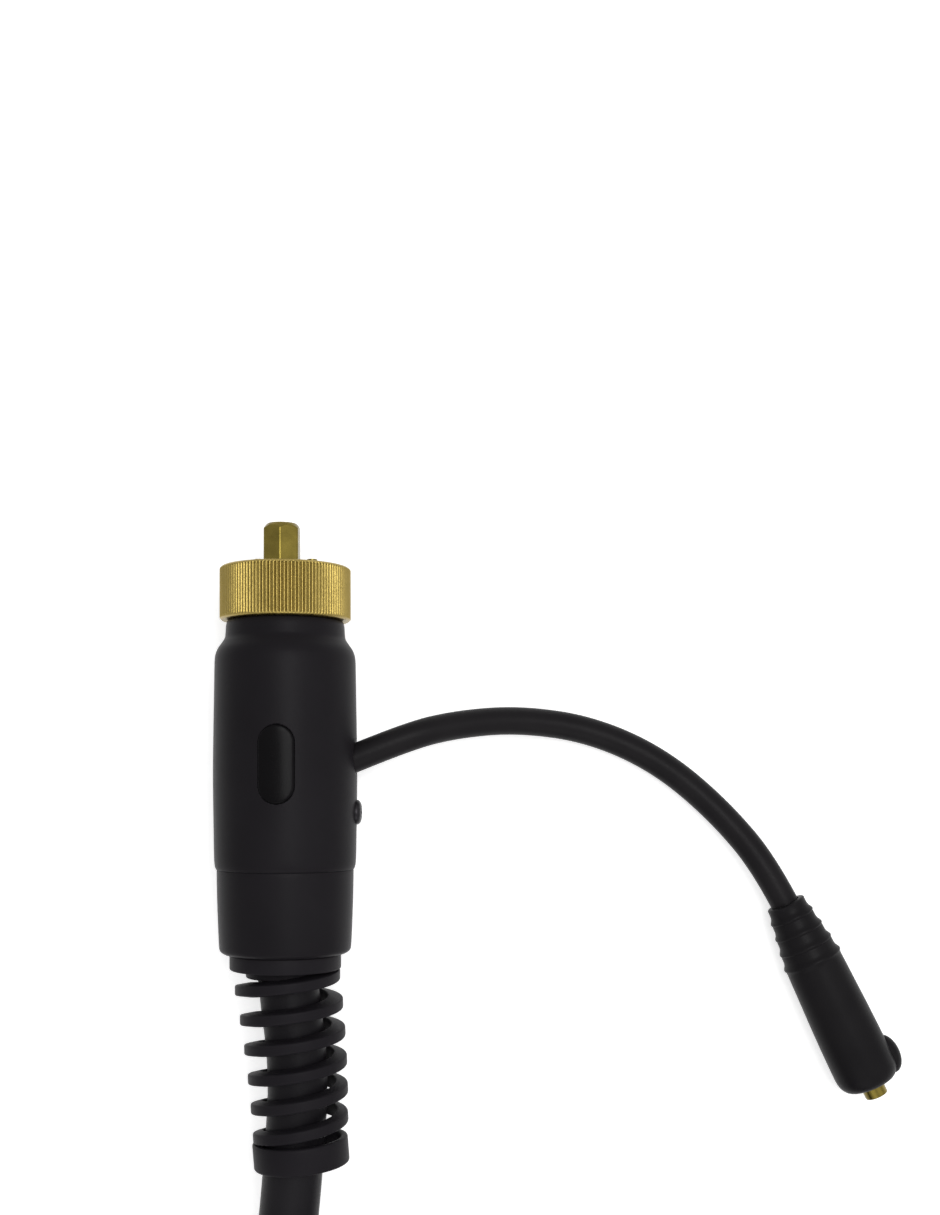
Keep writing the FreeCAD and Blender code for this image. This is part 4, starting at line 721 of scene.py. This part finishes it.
def handle_shape(angle, along, radius):
    """Sinks the trigger's slot and the grip rings behind the nose into the outside."""
    if radius < 13.2:
        return radius
    across = radius * math.sin(math.radians(angle))
    facing = math.cos(math.radians(angle)) > 0
    slot = max(abs(across) - TRIGGER_WIDTH / 2, abs(along - TRIGGER_PLACE) - TRIGGER_LENGTH / 2) - TRIGGER_GAP
    sink = SLOT_DEPTH * (1 - ease(slot, -0.1, 0.25)) if facing else 0
    if GRIP_START < along < GRIP_END:
        sink += GRIP_DEPTH * ease(abs((along - GRIP_START) / GRIP_PITCH % 1 - 0.5) * 2, 0.55, 0.9)
    return radius - sink


def make_handle():
    """The two shells, with a fine groove between them."""
    knots = [(42.3, 15.3), (60, 15.45), (90, 15.2), (118, 15.4), (150, 15.3), (174, 15.1), (181, 14.2), (186, 12.3),
             (190.5, 9.9)]
    outside = [tuple(reversed(tuple(spot))) for spot in smooth_curve(knots, 0.5)]
    line = [(13.0, 42.0), (15.1, 42.0)] + outside + [(9.5, 191.7), (7.0, 192.0), (7.0, 178.0), (13.0, 178.0)]
    for name, node, first in (("handle_top", "handle_shell_upper", 0), ("handle_base", "handle_shell_lower", 180)):
        angles = even([first + 0.35, first + 30, first + 150, first + 179.65], 1.0)
        piece = turned(name, line, HAND, angles=angles, shape=handle_shape, full=False)
        finish_piece(piece, [node])


def make_trigger():
    """A rounded button with finger ridges."""
    clearance = 0.05
    half = TRIGGER_LENGTH / 2 - clearance
    width = TRIGGER_WIDTH / 2 - clearance
    columns = even([-half, half], 0.5)
    rows = even([-width, width], 0.4)
    points = []
    for along in columns:
        for across in rows:
            edge = min(half - abs(along), width - abs(across))
            top = 13.0 + 4.8 * ease(edge, -0.6, 0.9) - 1.0 * (abs(along) / half) ** 4
            top += 0.25 * ease(math.cos(along * 2 * math.pi / 3.2), 0.2, 0.9) * (abs(along) < 7)
            points.append(HAND @ Vector((min(top, 17.8), TRIGGER_PLACE + along, across)))
    wide = len(rows)
    faces = [(i * wide + j, i * wide + j + 1, (i + 1) * wide + j + 1, (i + 1) * wide + j)
             for i in range(len(columns) - 1) for j in range(wide - 1)]
    rim = ([j for j in range(wide)] + [i * wide + wide - 1 for i in range(1, len(columns))]
           + [(len(columns) - 1) * wide + j for j in range(wide - 2, -1, -1)]
           + [i * wide for i in range(len(columns) - 2, 0, -1)])
    base = len(points)
    for number in rim:
        local = HAND.inverted() @ points[number]
        points.append(HAND @ Vector((10.5, local.y, local.z)))
    for step in range(len(rim)):
        after = (step + 1) % len(rim)
        faces.append((rim[step], base + step, base + after, rim[after]))
    faces.append(tuple(base + step for step in range(len(rim))))
    finish_piece(mesh_piece("trigger_cap", points, faces, 45), ["trigger_button"])


def cap_shape(angle, along, radius):
    """Flutes round the back cap's thick end."""
    flutes, depth = 24, 0.3
    if radius > 5.6 and -34 < along < -18:
        return radius - depth * (0.5 + 0.5 * math.cos(math.radians(angle * flutes)))
    return radius


def make_cup_and_cap():
    knots = [(20.4, 8.6), (22, 8.95), (30, 8.9), (33, 8.4), (36, 7.2), (39, 6.6), (46, 6.35), (53.2, 6.2)]
    outside = [(radius, along) for along, radius in smooth_curve(knots, 0.6)]
    line = [(4.75, 20.1), (8.2, 20.1)] + outside + [(6.0, 53.8), (5.5, 54.0), (5.0, 54.0), (4.75, 53.7)]
    finish_piece(turned("ceramic_cup", line, HEAD, steps=96), ["gas_cup"])
    knots = [(-60.4, 3.2), (-59.6, 4.6), (-57.5, 5.35), (-50, 5.45), (-40, 5.75), (-34, 6.2), (-25, 6.9), (-18, 7.4),
             (-15.4, 7.5)]
    outside = [(radius, along) for along, radius in smooth_curve(knots, 0.5)]
    line = [(0.001, -61.0), (2.0, -60.95)] + outside + [(7.2, -15.1), (4.75, -15.1), (4.75, -8.2), (0.001, -8.2)]
    finish_piece(turned("long_back_cap", line, HEAD, steps=192, shape=cap_shape, closed=False), ["back_cap"])


# Room: pale floor and soft light

WORLD_LIGHT = 0.35
WORLD_SEEN = 0.88
FLOOR_WHITE = 0.56
LAMPS = [  # name, place, size and power
    ("key", (0.25, 0.10, 1.1), 0.5, 5.5),
    ("fill", (0.8, -0.1, 0.8), 0.9, 1.6),
    ("foot", (0.1, -0.95, 0.7), 0.8, 2.4)]
LAMPS_AIM = Vector((0.07, -0.08, 0))


def seen_directly(tree, plain, seen):
    """A value that is higher for camera, glossy and transmission rays than for the light itself."""
    path = tree.nodes.new("ShaderNodeLightPath")
    share = path.outputs["Is Camera Ray"]
    for ray in ("Is Glossy Ray", "Is Transmission Ray"):
        either = tree.nodes.new("ShaderNodeMath")
        either.operation = "MAXIMUM"
        wire(tree, share, either.inputs[0])
        wire(tree, path.outputs[ray], either.inputs[1])
        share = either.outputs[0]
    reach = tree.nodes.new("ShaderNodeMapRange")
    reach.inputs["To Min"].default_value = plain
    reach.inputs["To Max"].default_value = seen
    wire(tree, share, reach.inputs["Value"])
    return reach.outputs["Result"]


def make_room():
    """A pale floor and world, and three soft lamps; lengths here are in metres."""
    floor_mesh = bpy.data.meshes.new("floor")
    reach = 4.0
    height = BENCH * MM
    floor_mesh.from_pydata([(-reach, -reach, height), (reach, -reach, height), (reach, reach, height),
                            (-reach, reach, height)], [], [(0, 1, 2, 3)])
    floor = bpy.data.objects.new("floor", floor_mesh)
    bpy.context.scene.collection.objects.link(floor)
    pale = surface("pale_floor", [(0.90, 0.90, 0.90), (0.92, 0.92, 0.92)], (0.8, 0.9), 3, 400, 0.00001, specular=0.1)
    shader = pale.node_tree.nodes["Principled BSDF"]
    shader.inputs["Emission Color"].default_value = (1, 1, 1, 1)
    wire(pale.node_tree, seen_directly(pale.node_tree, 0, FLOOR_WHITE), shader.inputs["Emission Strength"])
    floor.data.materials.append(pale)
    world = bpy.data.worlds.new("room")
    world.use_nodes = True
    world.node_tree.nodes["Background"].inputs["Color"].default_value = (1, 1, 1, 1)
    wire(world.node_tree, seen_directly(world.node_tree, WORLD_LIGHT, WORLD_SEEN),
         world.node_tree.nodes["Background"].inputs["Strength"])
    bpy.context.scene.world = world
    for name, spot, size, power in LAMPS:
        lamp = bpy.data.lights.new(name, "AREA")
        lamp.size = size
        lamp.energy = power
        holder = bpy.data.objects.new(name, lamp)
        bpy.context.scene.collection.objects.link(holder)
        holder.location = spot
        holder.rotation_euler = (LAMPS_AIM - Vector(spot)).to_track_quat("-Z", "Y").to_euler()


make_camera()
make_lead()
plug_pieces = make_plug()
make_pigtail()
make_strain_relief()
make_housing()
make_tab()
make_springs()
make_screw()
make_rear_sleeve()
make_nut()
make_spigot()
make_boot()
make_handle()
make_trigger()
make_cup_and_cap()
for node_name, thing in frame["nodes"].items():
    thing.data.materials.clear()
    thing.data.materials.append(SURFACES[OWN_SLOT[node_name]])
make_room()
